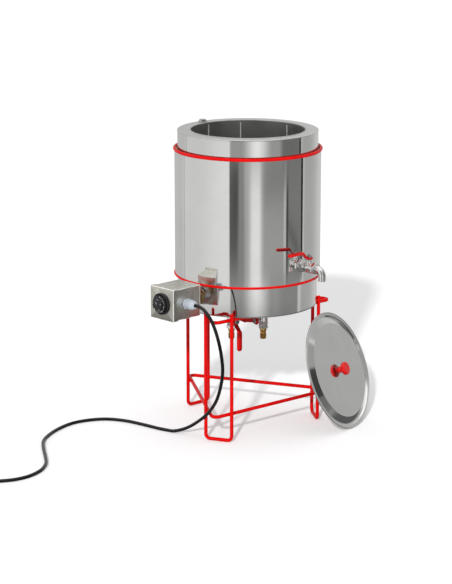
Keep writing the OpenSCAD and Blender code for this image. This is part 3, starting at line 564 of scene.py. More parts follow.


class Nodes:
    """A node tree that is filled one node at a time."""

    MIX_SHARE, MIX_FIRST, MIX_SECOND, MIX_RESULT = 0, 6, 7, 2  # a Mix node's colour sockets

    def __init__(self, tree: bpy.types.NodeTree) -> None:
        """Takes the tree and empties it."""
        self.tree = tree
        tree.nodes.clear()

    def add(self, kind: str, **facts: object) -> bpy.types.Node:
        """Makes a node.

        Args:
            kind: Blender's name for its type.
            facts: its own properties, by name.

        Returns:
            The node.
        """
        node = self.tree.nodes.new(kind)
        for name, value in facts.items():
            setattr(node, name, value)
        return node

    def feed(self, node: bpy.types.Node, socket: str | int, value: object) -> None:
        """Links an output to a socket, or sets the socket's own value.

        Args:
            node: the node that is fed.
            socket: name or number of its input.
            value: another node's output, or a plain value.
        """
        if isinstance(value, bpy.types.NodeSocket):
            self.tree.links.new(value, node.inputs[socket])
        else:
            node.inputs[socket].default_value = value

    def sum(self, operation: str, a: object, b: object = 0.0) -> bpy.types.NodeSocket:
        """Works out a sum with a Math node.

        Args:
            operation: Blender's name for the operation.
            a: the first value or output.
            b: the second, where the operation takes two.

        Returns:
            The result.
        """
        node = self.add("ShaderNodeMath", operation=operation)
        self.feed(node, 0, a)
        self.feed(node, 1, b)
        return node.outputs[0]

    def spread(self, value: object, low: float, high: float, to_low: float = 0.0,
               to_high: float = 1.0, smooth: bool = False) -> bpy.types.NodeSocket:
        """Carries a value from one range to another, and holds it at the ends.

        Args:
            value: the output that is read.
            low: start of its range.
            high: end of its range.
            to_low: the result at the start.
            to_high: the result at the end.
            smooth: whether the result eases in and out.

        Returns:
            The result.
        """
        kind = "SMOOTHSTEP" if smooth else "LINEAR"
        node = self.add("ShaderNodeMapRange", interpolation_type=kind, clamp=True)
        for name, v in (("Value", value), ("From Min", low), ("From Max", high),
                        ("To Min", to_low), ("To Max", to_high)):
            self.feed(node, name, v)
        return node.outputs["Result"]

    def window(self, value: object, low: float, high: float, soft_low: float,
               soft_high: float) -> bpy.types.NodeSocket:
        """Is 1 between two edges and 0 outside them, with each edge softened.

        Args:
            value: the output that is read.
            low: the lower edge.
            high: the upper edge.
            soft_low: half width of the lower edge's fade.
            soft_high: half width of the upper edge's fade.

        Returns:
            The product of the two fades.
        """
        fade_in = self.spread(value, low - soft_low, low + soft_low, smooth=True)
        fade_out = self.spread(value, high - soft_high, high + soft_high, 1.0, 0.0, True)
        return self.sum("MULTIPLY", fade_in, fade_out)

    def blend(self, share: object, a: object, b: object) -> bpy.types.NodeSocket:
        """Mixes two colours.

        Args:
            share: how much of the second one shows, from 0 to 1.
            a: the first colour.
            b: the second colour.

        Returns:
            The mixed colour.
        """
        node = self.add("ShaderNodeMix", data_type="RGBA")
        self.feed(node, self.MIX_SHARE, share)
        self.feed(node, self.MIX_FIRST, a)
        self.feed(node, self.MIX_SECOND, b)
        return node.outputs[self.MIX_RESULT]

    def noise(self, where: object, scale: float, detail: float,
              rough: float = 0.5) -> bpy.types.NodeSocket:
        """Reads a noise at a place.

        Args:
            where: the coordinates.
            scale: how often the noise changes in a unit of the coordinates.
            detail: how many finer layers it has.
            rough: the strength of each layer against the one before.

        Returns:
            The noise, 0.5 on the whole.
        """
        node = self.add("ShaderNodeTexNoise")
        for name, v in (("Vector", where), ("Scale", scale),
                        ("Detail", detail), ("Roughness", rough)):
            self.feed(node, name, v)
        return node.outputs[0]

    def parts(self, vector: object) -> list[bpy.types.NodeSocket]:
        """Takes a vector apart.

        Args:
            vector: the output that is read.

        Returns:
            Its X, Y and Z.
        """
        node = self.add("ShaderNodeSeparateXYZ")
        self.feed(node, 0, vector)
        return list(node.outputs)

    def in_axes(self, where: object, centre: Point, lean: Point) -> list[bpy.types.NodeSocket]:
        """Reads a place in axes that are moved and turned.

        Args:
            where: the coordinates.
            centre: origin of the axes.
            lean: their rotation in radians about X, Y and Z.

        Returns:
            The place's X, Y and Z there.
        """
        node = self.add("ShaderNodeMapping", vector_type="TEXTURE")
        for name, v in (("Vector", where), ("Location", centre), ("Rotation", lean)):
            self.feed(node, name, v)
        return self.parts(node.outputs[0])


@dataclass(frozen=True)
class Finish:
    """The recipe of one surface: two colours blended by noise, gloss, grain and relief.

    Lengths are metres, as the shader sees them. Grain is a noise drawn out along the surface's
    lines: level on sheet, and round a piece's own axis on turned or spun work. A block that isn't
    of size 0 gets a painted highlight along its edges: it holds half the piece's size along each
    of its axes.
    """

    name: str
    colour: tuple[float, float, float, float]
    shade: tuple[float, float, float, float]
    metal: float = 0.0
    gloss: tuple[float, float] = (0.3, 0.4)
    patch: float = 40.0
    grain: Grain = Grain.SPECKLE
    fineness: float = 900.0
    relief: float = 0.05
    depth: float = 0.0002
    coat: float = 0.0
    sheen: float = 0.0
    specular: float = 0.5
    wave: float = 0.0
    centre: Point = (0.0, 0.0, 0.0)
    lean: Point = (0.0, 0.0, 0.0)
    block: Point = (0.0, 0.0, 0.0)

    def material(self) -> bpy.types.Material:
        """The material, made once and shared by the pieces of this finish."""
        found = bpy.data.materials.get(self.name)
        return found if found else self.weave()

    def lines(self, n: Nodes, where: bpy.types.NodeSocket) -> bpy.types.NodeSocket:
        """The coordinates in which the grain's noise is read.

        Args:
            n: the tree.
            where: the piece's own coordinates.

        Returns:
            A vector that changes slowly along the lines and fast across them.
        """
        if self.grain is Grain.SPECKLE:
            return where
        if self.grain is Grain.ROUND:
            x, y, z = n.in_axes(where, self.centre, self.lean)
            reach = n.sum("SQRT", n.sum("ADD", n.sum("MULTIPLY", x, x), n.sum("MULTIPLY", y, y)))
            arc = n.sum("MULTIPLY", n.sum("ARCTAN2", y, x), ARC_GRAIN)
            made = n.add("ShaderNodeCombineXYZ")
            for socket, value in enumerate((reach, arc, z)):
                n.feed(made, socket, value)
            return made.outputs[0]
        scale = n.add("ShaderNodeMapping")
        n.feed(scale, "Vector", where)
        n.feed(scale, "Scale", DRAWN_OUT)
        return scale.outputs[0]

    def painted_edge_highlight(self, n: Nodes, where: bpy.types.NodeSocket,
             patch: bpy.types.NodeSocket) -> bpy.types.NodeSocket:
        """How much painted highlight a block's edges get, from 0 to 1.

        With a, b and c the heights of a point above the block's three pairs of faces, the second
        largest of them is 0 on an edge and falls with the distance from it.

        Args:
            n: the tree.
            where: the piece's own coordinates.
            patch: a coarse noise, which makes the line of painted highlight uneven.

        Returns:
            The share of painted highlight.
        """
        axes = n.in_axes(where, self.centre, self.lean)
        a, b, c = (n.sum("SUBTRACT", n.sum("ABSOLUTE", along), half)
                   for along, half in zip(axes, self.block))
        lower, upper = n.sum("MINIMUM", a, b), n.sum("MAXIMUM", a, b)
        second = n.sum("MAXIMUM", lower, n.sum("MINIMUM", upper, c))
        uneven = n.sum("MULTIPLY", n.sum("SUBTRACT", patch, 0.5), PAINTED_HIGHLIGHT_UNEVEN)
        return n.spread(n.sum("ADD", second, uneven), *PAINTED_HIGHLIGHT_REACH, smooth=True)

    def weave(self) -> bpy.types.Material:
        """Builds the node tree.

        Returns:
            The new material.
        """
        made = bpy.data.materials.new(self.name)
        made.use_nodes = True
        n = Nodes(made.node_tree)
        where = n.add("ShaderNodeTexCoord").outputs["Object"]
        shader = n.add("ShaderNodeBsdfPrincipled")
        out = n.add("ShaderNodeOutputMaterial")
        n.feed(out, "Surface", shader.outputs[0])
        patch = n.noise(where, self.patch, 4.0, 0.6)
        fine = n.noise(self.lines(n, where), self.fineness, 3.0, 0.6)
        share = n.sum("ADD", n.sum("MULTIPLY", patch, PATCH_SHARE),
                      n.sum("MULTIPLY", fine, FINE_SHARE))
        tint = n.blend(n.spread(share, *TINT_RANGE), self.colour, self.shade)
        metal: object = self.metal
        # Painted highlight along the block's edges: a paler colour and less metal where the folds
        # would catch the light
        if self.block[0] > 0:
            highlight_share = self.painted_edge_highlight(n, where, patch)
            tint = n.blend(highlight_share, tint, PAINTED_HIGHLIGHT)
            metal = n.spread(highlight_share, 0.0, 1.0, self.metal, PAINTED_HIGHLIGHT_METAL)
        bump = self.bump(n, self.relief, self.depth, fine)
        if self.wave > 0:
            swell = self.bump(n, self.wave, SWELL_DEPTH, n.noise(where, SWELL_SCALE, 1.0))
            n.feed(bump, "Normal", swell.outputs[0])
        for socket, value in {
            "Base Color": tint, "Roughness": n.spread(share, *GLOSS_RANGE, *self.gloss),
            "Normal": bump.outputs[0], "Metallic": metal, "Coat Weight": self.coat,
            "Coat Roughness": COAT_ROUGHNESS, "Sheen Weight": self.sheen,
            "Specular IOR Level": self.specular,
        }.items():
            n.feed(shader, socket, value)
        made.diffuse_color = self.colour
        return made

    @staticmethod
    def bump(n: Nodes, strength: float, depth: float, height: object) -> bpy.types.Node:
        """Makes a Bump node.

        Args:
            n: the tree.
            strength: how much of the relief shows.
            depth: its height in metres.
            height: the noise that it follows.

        Returns:
            The node.
        """
        node = n.add("ShaderNodeBump")
        for name, v in (("Strength", strength), ("Distance", depth), ("Height", height)):
            n.feed(node, name, v)
        return node


def steel(name: str, tone: float, gloss: tuple[float, float], **more: object) -> Finish:
    """A steel finish.

    Args:
        name: the material's name.
        tone: its grey from 0 to 255.
        gloss: its lowest and highest roughness.
        more: any other facts of a Finish.

    Returns:
        The finish, with a shade 9 below its tone.
    """
    return Finish(name, grey(tone), grey(tone - 9), metal=1.0, gloss=gloss, **more)


ENAMEL = Finish("red_gloss_enamel", colour(206, 4, 2), colour(186, 2, 1), gloss=(0.22, 0.32),
                patch=26, fineness=420, relief=0.10, coat=0.04, specular=0.12)
MIRROR = steel("polished_sheath_steel", 248, (0.045, 0.075), grain=Grain.LEVEL, fineness=1500,
               relief=0.012, patch=7, wave=0.010)
COLLAR = steel("polished_jacket_steel", 244, (0.06, 0.10), grain=Grain.LEVEL, fineness=1500,
               relief=0.02, patch=9, wave=0.012)
RIM = steel("satin_rim_steel", 238, (0.16, 0.26), grain=Grain.ROUND, fineness=1400, relief=0.03)
POT = steel("dull_vessel_steel", 206, (0.26, 0.40), grain=Grain.LEVEL, fineness=700, relief=0.05,
            patch=14)
SPUN = steel("spun_lid_steel", 250, (0.07, 0.12), grain=Grain.ROUND, fineness=1300, relief=0.02,
             patch=12)
BRUSHED = Finish("brushed_case_steel", colour(248, 246, 236), colour(214, 212, 201), metal=1.0,
                 gloss=(0.24, 0.40), grain=Grain.LEVEL, fineness=700, relief=0.25, patch=45)
ZINC = steel("zinc_plated_steel", 214, (0.22, 0.34), fineness=700, relief=0.06, patch=90)
WELD = steel("dull_weld", 168, (0.4, 0.55), fineness=600, relief=0.2, patch=90)
CHROME = steel("chromed_elbow", 250, (0.03, 0.07), fineness=500, relief=0.01, patch=60)
NICKEL = steel("cast_nickelled_brass", 251, (0.07, 0.16), fineness=380, relief=0.06, depth=0.0004,
               patch=120)
BRASS = Finish("turned_brass", colour(236, 200, 112), colour(206, 160, 78), metal=1.0,
               gloss=(0.12, 0.26), patch=110, fineness=700, relief=0.08)
AGED = Finish("aged_brass", colour(206, 182, 134), colour(158, 124, 78), metal=1.0,
              gloss=(0.16, 0.32), patch=90, fineness=700, relief=0.10)
ELEMENT = Finish("oxidised_element_steel", colour(96, 92, 90), colour(66, 60, 60), metal=1.0,
                 gloss=(0.4, 0.55), patch=60, relief=0.1)
TRIM = Finish("red_trim_rubber", colour(208, 6, 3), colour(190, 4, 2), gloss=(0.26, 0.36), patch=30,
              fineness=600, relief=0.06, coat=0.04, specular=0.12)
GRIP = Finish("dipped_red_vinyl", colour(202, 5, 4), colour(172, 3, 3), gloss=(0.26, 0.38),
              patch=60, fineness=300, relief=0.16, depth=0.0003, coat=0.08, specular=0.2)
KNOB = Finish("moulded_red_plastic", colour(206, 6, 4), colour(184, 4, 3), gloss=(0.16, 0.26),
              patch=50, fineness=500, relief=0.05, coat=0.3, specular=0.4)
BLACK = Finish("moulded_black_plastic", colour(34, 34, 36), colour(22, 22, 24), gloss=(0.28, 0.42),
               patch=60, fineness=900, relief=0.12)
GREY = Finish("moulded_grey_plastic", colour(174, 180, 188), colour(158, 165, 174),
              gloss=(0.34, 0.46), patch=60, fineness=700, relief=0.08)
WHITE = Finish("moulded_white_plastic", colour(236, 236, 230), colour(222, 222, 214),
               gloss=(0.34, 0.48), patch=60, fineness=700, relief=0.08)
PRINT = Finish("white_dial_print", colour(238, 240, 242), colour(214, 218, 222), gloss=(0.4, 0.5),
               patch=200, fineness=1500, relief=0.05)
RUBBER = Finish("black_cord_rubber", colour(9, 9, 10), colour(5, 5, 6), gloss=(0.14, 0.24),
                patch=45, fineness=1100, relief=0.08, coat=0.1)
STRAP = Finish("black_strap_rubber", colour(36, 35, 34), colour(24, 24, 23), gloss=(0.5, 0.62),
               patch=70, fineness=900, relief=0.2, sheen=0.1)
WOOL = Finish("mineral_wool", colour(150, 134, 104), colour(112, 98, 72), gloss=(0.85, 0.95),
              patch=160, fineness=500, relief=0.9, depth=0.002)


# Studio


@dataclass(frozen=True)
class Card:
    """One upright card or gap of the studio, as polished steel sees it.

    Angles are degrees round the object, 0 towards the camera and growing towards +X. The card's
    grey fades in over the first soft width and out over the second; lean moves it sideways for
    each degree of height above the middle, and fade softens its lower and upper ends.
    """

    low: float
    high: float
    grey: float
    soft_low: float = 1.0
    soft_high: float = 1.0
    lean: float = 0.0
    bottom: float = -60.0
    top: float = 60.0
    fade: float = 1.5


@dataclass(frozen=True)
class Studio:
    """Camera, lights, floor and the pale room that the polished steel reflects.

    The sun's azimuth is the way that its light travels, in degrees from +X, its rise is its height
    above the horizon, and its width softens the shadow's edge. The bands are degrees of height over
    which the reflected floor, what is nearer than it, and the ceiling fade in.
    """

    camera_at: Point = (0.0, -5596.45, 1762.52)
    pitch: float = 13.857
    yaw: float = 0.627
    lens: float = 124.28
    sensor: float = 36.0
    far: float = 200.0
    room: float = 0.80
    floor_size: float = 60000.0
    floor_paint: float = 0.86
    floor_lift: float = 0.08
    sun_azimuth: float = 80.0
    sun_rise: float = 27.0
    sun_width: float = 3.0
    sun_strength: float = 2.6
    wall: float = 206.0
    mid_height: float = -12.0
    wobble: float = 2.4
    wobble_scale: float = 7.0
    floor_band: tuple[float, float] = (-19.0, -15.4)
    floor_tone: Point = (88, 88, 88)
    under_band: tuple[float, float] = (-46.0, -30.0)
    under_tone: Point = (128, 128, 127)
    ceiling_band: tuple[float, float] = (40.0, 60.0)
    ceiling_tone: Point = (252, 252, 252)
    cards: tuple[Card, ...] = (
        Card(-180, -122, 190, 0.1, 4),
        Card(-119.5, -117.5, 168, 0.8, 0.8),
        Card(-60, -28, 222, 30, 0.4),
        Card(-28, -2, 132, 0.4, 5),
        Card(-28, -15, 86, 0.4, 3, 0.0, -13.2, 0.0, 0.6),
        Card(-23, -15, 76, 3, 3, 0.0, -12.0, 0.0, 0.8),
        Card(-3, 9, 162, 4, 5),
        Card(-3, 24, 176, 6, 6, 0.0, -10.9, 0.0, 0.9),
        Card(4, 22, 228, 6, 5, 0.0, -60.0, -10.4, 0.9),
        Card(22, 92, 156, 5, 1),
        Card(34, 60, 142, 8, 1, 0.0, -60.0, -13.6, 0.4),
        Card(24, 62, 126, 8, 3, 0.0, -11.3, -5.0, 0.5),
        Card(58.5, 62.5, 186, 0.6, 0.6, 0.0, -13.4, -11.0, 0.3),
        Card(63.0, 92, 120, 0.6, 1, 0.0, -13.5, 0.0, 0.2),
        Card(63.0, 66.5, 62, 0.6, 1.0, 0.0, -13.4, -10.8, 0.3),
        Card(64.0, 72.0, 64, 1.0, 1.0, -26.0, -12.8, -11.9, 0.15),
        Card(92, 96.2, 30, 0.3, 0.4, 0.0, -13.45, 0.0, 0.1),
        Card(96.2, 140, 168, 0.4, 26),
        Card(96.2, 99.5, 192, 0.4, 1.0),
        Card(150, 181, 198, 20, 0.1),
        Card(58, 91, 62, 2, 1.5, 0.0, -3.0, 26.0, 1.5),
        Card(-28, 91, 152, 0.4, 0.5, 0.0, -60.0, -13.75, 0.12),
        Card(2, 28, 238, 13, 13, 0.0, -60.0, -13.75, 0.12),
        Card(54, 91, 138, 8, 0.5, 0.0, -60.0, -13.75, 0.12),
        Card(-28, 91, 156, 0.4, 0.5, 0.0, -9.95, 0.0, 0.1),
        Card(2, 28, 240, 13, 13, 0.0, -9.7, 0.0, 0.1),
        Card(-28, 60, 124, 0.4, 10, 0.0, -9.95, -9.72, 0.05),
        Card(56, 91, 110, 5, 0.5, 0.0, -9.95, 0.0, 0.1),
    )

    def camera(self) -> None:
        """Makes the camera at the photograph's viewpoint."""
        data = bpy.data.cameras.new("camera")
        data.lens = self.lens
        data.sensor_width = self.sensor
        data.clip_end = self.far
        made = linked("camera", data)
        made.location = np.array(self.camera_at) * MM
        made.rotation_euler = (math.radians(90 - self.pitch), 0.0, math.radians(self.yaw))
        bpy.context.scene.camera = made

    def reflection(self, n: Nodes) -> bpy.types.NodeSocket:
        """The room's colour for a direction, card over card.

        Args:
            n: the world's tree.

        Returns:
            The colour that glossy surfaces see.
        """
        way = n.add("ShaderNodeTexCoord").outputs["Generated"]
        x, y, z = n.parts(way)
        around = n.sum("MULTIPLY", n.sum("ARCTAN2", x, n.sum("MULTIPLY", y, -1.0)), DEGREES)
        uneven = n.sum("SUBTRACT", n.noise(way, self.wobble_scale, 2.0), 0.5)
        around = n.sum("ADD", around, n.sum("MULTIPLY", uneven, self.wobble))
        height = n.sum("MULTIPLY", n.sum("ARCSINE", z), DEGREES)
        tone: object = grey(self.wall)
        for card in self.cards:
            place = around
            if card.lean:
                rise = n.sum("SUBTRACT", height, self.mid_height)
                place = n.sum("ADD", around, n.sum("MULTIPLY", rise, -card.lean))
            share = n.window(place, card.low, card.high, card.soft_low, card.soft_high)
            if card.top < Card.top:
                tall = n.window(height, card.bottom, card.top, card.fade, card.fade)
                share = n.sum("MULTIPLY", share, tall)
            tone = n.blend(share, tone, grey(card.grey))
        floor = n.spread(height, *self.floor_band, 1.0, 0.0, True)
        under = n.spread(height, *self.under_band, 1.0, 0.0, True)
        ceiling = n.spread(height, *self.ceiling_band, smooth=True)
        tone = n.blend(floor, tone, colour(*self.floor_tone))
        tone = n.blend(under, tone, colour(*self.under_tone))
        return n.blend(ceiling, tone, colour(*self.ceiling_tone))

    def world(self) -> None:
        """Makes the room: white behind the object, pale light on it, cards in its reflections."""
        world = bpy.data.worlds.new("pale_room")
        world.use_nodes = True
        bpy.context.scene.world = world
        n = Nodes(world.node_tree)
        ray = n.add("ShaderNodeLightPath")
        shine = self.reflection(n)
        plain = (self.room, self.room, self.room * 1.01, 1.0)
        tone = n.blend(ray.outputs["Is Glossy Ray"], plain, shine)
        for straight in ("Is Camera Ray", "Is Transmission Ray"):
            tone = n.blend(ray.outputs[straight], tone, PURE_WHITE)
        back = n.add("ShaderNodeBackground")
        n.feed(back, "Color", tone)
        n.feed(back, "Strength", 1.0)
        out = n.add("ShaderNodeOutputWorld")
        n.feed(out, "Surface", back.outputs[0])

    def floor(self) -> None:
        """Makes the pale floor, which takes shadows and isn't seen in the steel."""
        half = self.floor_size / 2 * MM
        mesh = bpy.data.meshes.new("floor")
        corners = [(-half, -half, 0), (half, -half, 0), (half, half, 0), (-half, half, 0)]
        mesh.from_pydata(corners, [], [(0, 1, 2, 3)])
        paint = bpy.data.materials.new("pale_floor")
        paint.use_nodes = True
        n = Nodes(paint.node_tree)
        ray = n.add("ShaderNodeLightPath")
        matt = n.add("ShaderNodeBsdfDiffuse")
        n.feed(matt, "Color", (self.floor_paint, self.floor_paint, self.floor_paint, 1.0))
        lift = n.add("ShaderNodeEmission")
        n.feed(lift, "Color", PURE_WHITE)
        n.feed(lift, "Strength", n.sum("MULTIPLY", ray.outputs["Is Camera Ray"], self.floor_lift))
        both = n.add("ShaderNodeAddShader")
        n.feed(both, 0, matt.outputs[0])
        n.feed(both, 1, lift.outputs[0])
        out = n.add("ShaderNodeOutputMaterial")
        n.feed(out, "Surface", both.outputs[0])
        mesh.materials.append(paint)
        made = linked("floor", mesh)
        made.visible_glossy = False

    def sun(self) -> None:
        """Makes the far lamp that gives the shadow."""
        data = bpy.data.lights.new("sun", "SUN")
        data.energy = self.sun_strength
        data.angle = math.radians(self.sun_width)
        made = linked("sun", data)
        tilt, way = math.radians(90 - self.sun_rise), math.radians(self.sun_azimuth - 90)
        made.rotation_euler = (tilt, 0.0, way)
        made.visible_glossy = False

    def light(self) -> None:
        """Lights the object evenly, with a low sun in front that throws its shadow back."""
        bpy.context.scene.view_settings.view_transform = "Standard"
        self.world()
        self.floor()
        self.sun()


# The object


@dataclass(frozen=True)
class Cord:
    """The mains cord: its free stretch, the coil that is put away, its tie and its plug."""

    diameter: float = 9.4
    coil_r: float = 60.0
    pitch: float = 10.8
    turns_in: float = 1.5
    climb_turns: float = 0.2
    turns_out: float = 1.5
    low_z: float = 5.9
    entry: tuple[float, float] = (-735.0, -562.0)
    tail: float = 45.0
    plug_d: float = 38.0
    exit_out: float = 35.0
    inside: float = 10.0
    straight: float = 15.0
    per_turn: int = 24
    strap_w: float = 8.0
    strap_t: float = 1.0
    strap_bend: float = 3.5
    strap_gap: float = 0.7
    pin_r: float = 2.4
    pin_side: float = 9.5
    pin_foot: float = 54.5
    pin_end: float = 81.0
    hanging: tuple[Point, ...] = (
        (-114, -315, 405), (-95, -330, 378), (-80, -337, 336), (-70, -332, 284), (-67, -315, 233),
        (-74, -286, 179), (-88, -249, 127), (-115, -204, 77), (-155, -161, 34), (-186, -139, 14),
    )
    lying: tuple[tuple[float, float], ...] = (
        (-215, -122), (-250, -101), (-302, -61), (-352, -28), (-406, -12), (-458, -23), (-504, -54),
        (-539, -108), (-561, -167), (-570, -218), (-564, -282), (-552, -352), (-545, -402),
        (-546, -440), (-556, -480), (-580, -520), (-615, -547), (-655, -559), (-700, -562),
    )

    def radius_at(self, u: Array) -> Array:
        """Radius of the winding: in at a steady rate, level in the climb, and out again.

        Args:
            u: turns from the start of the coil.

        Returns:
            The radius at each.
        """
        inner = self.coil_r - self.pitch * self.turns_in
        out = inner + self.pitch * (u - self.turns_in - self.climb_turns)
        return np.where(u < self.turns_in, self.coil_r - self.pitch * u, np.maximum(out, inner))

    def centre(self) -> Array:
        """The coil's centre on the floor."""
        return np.array([self.entry[0], self.entry[1] - self.coil_r])

    def turns(self) -> float:
        """All the turns of the coil."""
        return self.turns_in + self.climb_turns + self.turns_out

    def winding(self) -> Array:
        """The coil's line: (R cos a, R sin a) round its centre with a = 90 + 360 u degrees.

        Its height goes from the lower layer to the upper with half a cosine wave in the climb.

        Returns:
            Rows of points, from the outside of the lower layer to the outside of the upper.
        """
        u = np.linspace(0, self.turns(), round(self.turns() * self.per_turn) + 1)
        a = TURN / 4 + TURN * u
        climb = np.clip((u - self.turns_in) / self.climb_turns, 0, 1)
        z = self.low_z + self.pitch * (1 - np.cos(math.pi * climb)) / 2
        r = self.radius_at(u)
        x, y = self.centre()
        return np.stack([x + r * np.cos(a), y + r * np.sin(a), z], axis=1)

    def end_azimuth(self) -> float:
        """Direction of the cord where it leaves the coil, in degrees."""
        return 180 + 360 * self.turns()

    def route(self, gland: Place) -> Array:
        """The points that the whole cord passes through.

        The tail falls to the plug's axis with half a cosine wave over its first three quarters.

        Args:
            gland: the gland's place, with Z out of the box.

        Returns:
            Rows of points, from inside the gland to the plug.
        """
        out = np.array([self.exit_out - self.inside, self.exit_out, self.exit_out + self.straight])
        start = gland.put(np.stack([0 * out, 0 * out, out], axis=1))
        flat = np.array(self.lying, float)
        floor = np.column_stack([flat, np.full(len(flat), self.diameter / 2)])
        wound = self.winding()
        share = np.arange(1, 5) / 4
        rise = (1 - np.cos(math.pi * np.minimum(share * 4 / 3, 1))) / 2
        top = wound[-1, 2]
        tail = wound[-1] + polar(self.end_azimuth()) * (self.tail * share)[:, None]
        tail[:, 2] = top + (self.plug_d / 2 - top) * rise
        route = np.concatenate([start, np.array(self.hanging, float), floor, wound, tail])
        route[:, 2] = np.maximum(route[:, 2], self.diameter / 2)
        return route

    def build(self, gland: Place) -> None:
        """Args:
            gland: the gland's place, with Z out of the box.
        """
        route = self.route(gland) * MM
        reach = np.gradient(route, axis=0) / 3
        low = self.diameter / 2 * MM
        curve = bpy.data.curves.new("mains_cord", "CURVE")
        curve.dimensions = "3D"
        curve.bevel_depth = low
        curve.bevel_resolution = 5
        curve.resolution_u = 6
        curve.use_fill_caps = True
        spline = curve.splines.new("BEZIER")
        spline.bezier_points.add(len(route) - 1)
        for name, side in (("co", 0), ("handle_left", -1), ("handle_right", 1)):
            held = route + side * reach
            held[:, 2] = np.maximum(held[:, 2], low)
            spline.bezier_points.foreach_set(name, held.ravel())
        curve.materials.append(RUBBER.material())
        cord = linked("mains_cord", curve)
        settle(cord, "root", "cord_rubber", "supply_cord", "cord_coil")
        strap, body, pins = self.strap(), self.plug(), self.pins()
        tuple(gland.moved(z=self.exit_out).put(np.zeros(3)) * MM)

    def strap(self) -> bpy.types.Object:
        """The rubber strap round the coil's turns: a flat band along a rounded rectangle.

        With Y across the band and N square to it, a point is path + w / 2 c Y + t / 2 s N, where
        w and t are the band's width and thickness and (c, s) the points of a superellipse.

        Returns:
            The piece.
        """
        r = self.radius_at(np.arange(0.5, self.turns(), 1.0))
        half = self.diameter / 2 + self.strap_gap
        near, far = r.min() - half, r.max() + half
        low, top = self.strap_t / 2, self.low_z + self.pitch + half
        corners = np.array([[near, 0, low], [far, 0, low], [far, 0, top], [near, 0, top]])
        path = rounded(corners, self.strap_bend, 6)
        across = np.array([0.0, 1.0, 0.0])
        out = np.cross(unit(np.roll(path, -1, 0) - np.roll(path, 1, 0)), across)
        c, s = superellipse(12, 5)
        band = (path[:, None] + self.strap_w / 2 * c[None, :, None] * across
                + self.strap_t / 2 * s[None, :, None] * out[:, None])
        place = Place((*self.centre(), 0.0)).spun(270.0)
        made = Skin("cord_strap").grid(band, True, place).piece(STRAP)
        return settle(made, "root", "tie_rubber", "coil_tie")

    def plug_place(self) -> Place:
        """The plug's cable end.

        Returns:
            The place, with Z towards the pins.
        """
        end = self.winding()[-1] + polar(self.end_azimuth()) * self.tail
        flat = Place((end[0], end[1], self.plug_d / 2)).spun(self.end_azimuth())
        return flat.laid()

    def plug(self) -> bpy.types.Object:
        """The plug's moulded body, with a ribbed strain relief and a ridged waist.

        The relief's radius grows from 6.5 to 12 less six cosine waves 0.8 deep.

        Returns:
            The piece.
        """
        s = np.linspace(0, 1, 61)
        ribs = 0.8 * (0.5 - 0.5 * np.cos(TURN * 6 * s))
        relief = np.stack([6.5 + 5.5 * s - ribs * (1 - s * 0.4), 24 * s], axis=1)
        rest = np.array([[12.0, 24], [14.5, 27], [19, 36], [19, 40], [18.6, 41], [19, 42], [19, 60],
                         [17.4, 62], [16.2, 62], [16.2, 61.2], [0, 61.2]])
        profile = np.concatenate([[[0, 0]], relief, rounded(rest, 0.8, 3, False)])
        skin = Skin("mains_plug").knob(profile, self.plug_place(), 72, None, (28, 0.5, 42.5, 58))
        return settle(skin.piece(RUBBER), "root", "cord_rubber", "plug_body")

    def pins(self) -> bpy.types.Object:
        """The plug's two round pins, with domed ends.

        Returns:
            The piece.
        """
        skin = Skin("mains_plug_pins")
        r, a = self.pin_r, quarter_turn(6)
        tip = np.stack([r * np.cos(a), self.pin_end - r + r * np.sin(a)], axis=1)
        profile = np.concatenate([[[0, self.pin_foot], [r, self.pin_foot]], tip])
        for side in (-self.pin_side, self.pin_side):
            skin.knob(profile, self.plug_place().moved(y=side), 24)
        return settle(skin.piece(ZINC), "root", "zinc_steel", "plug_pins")


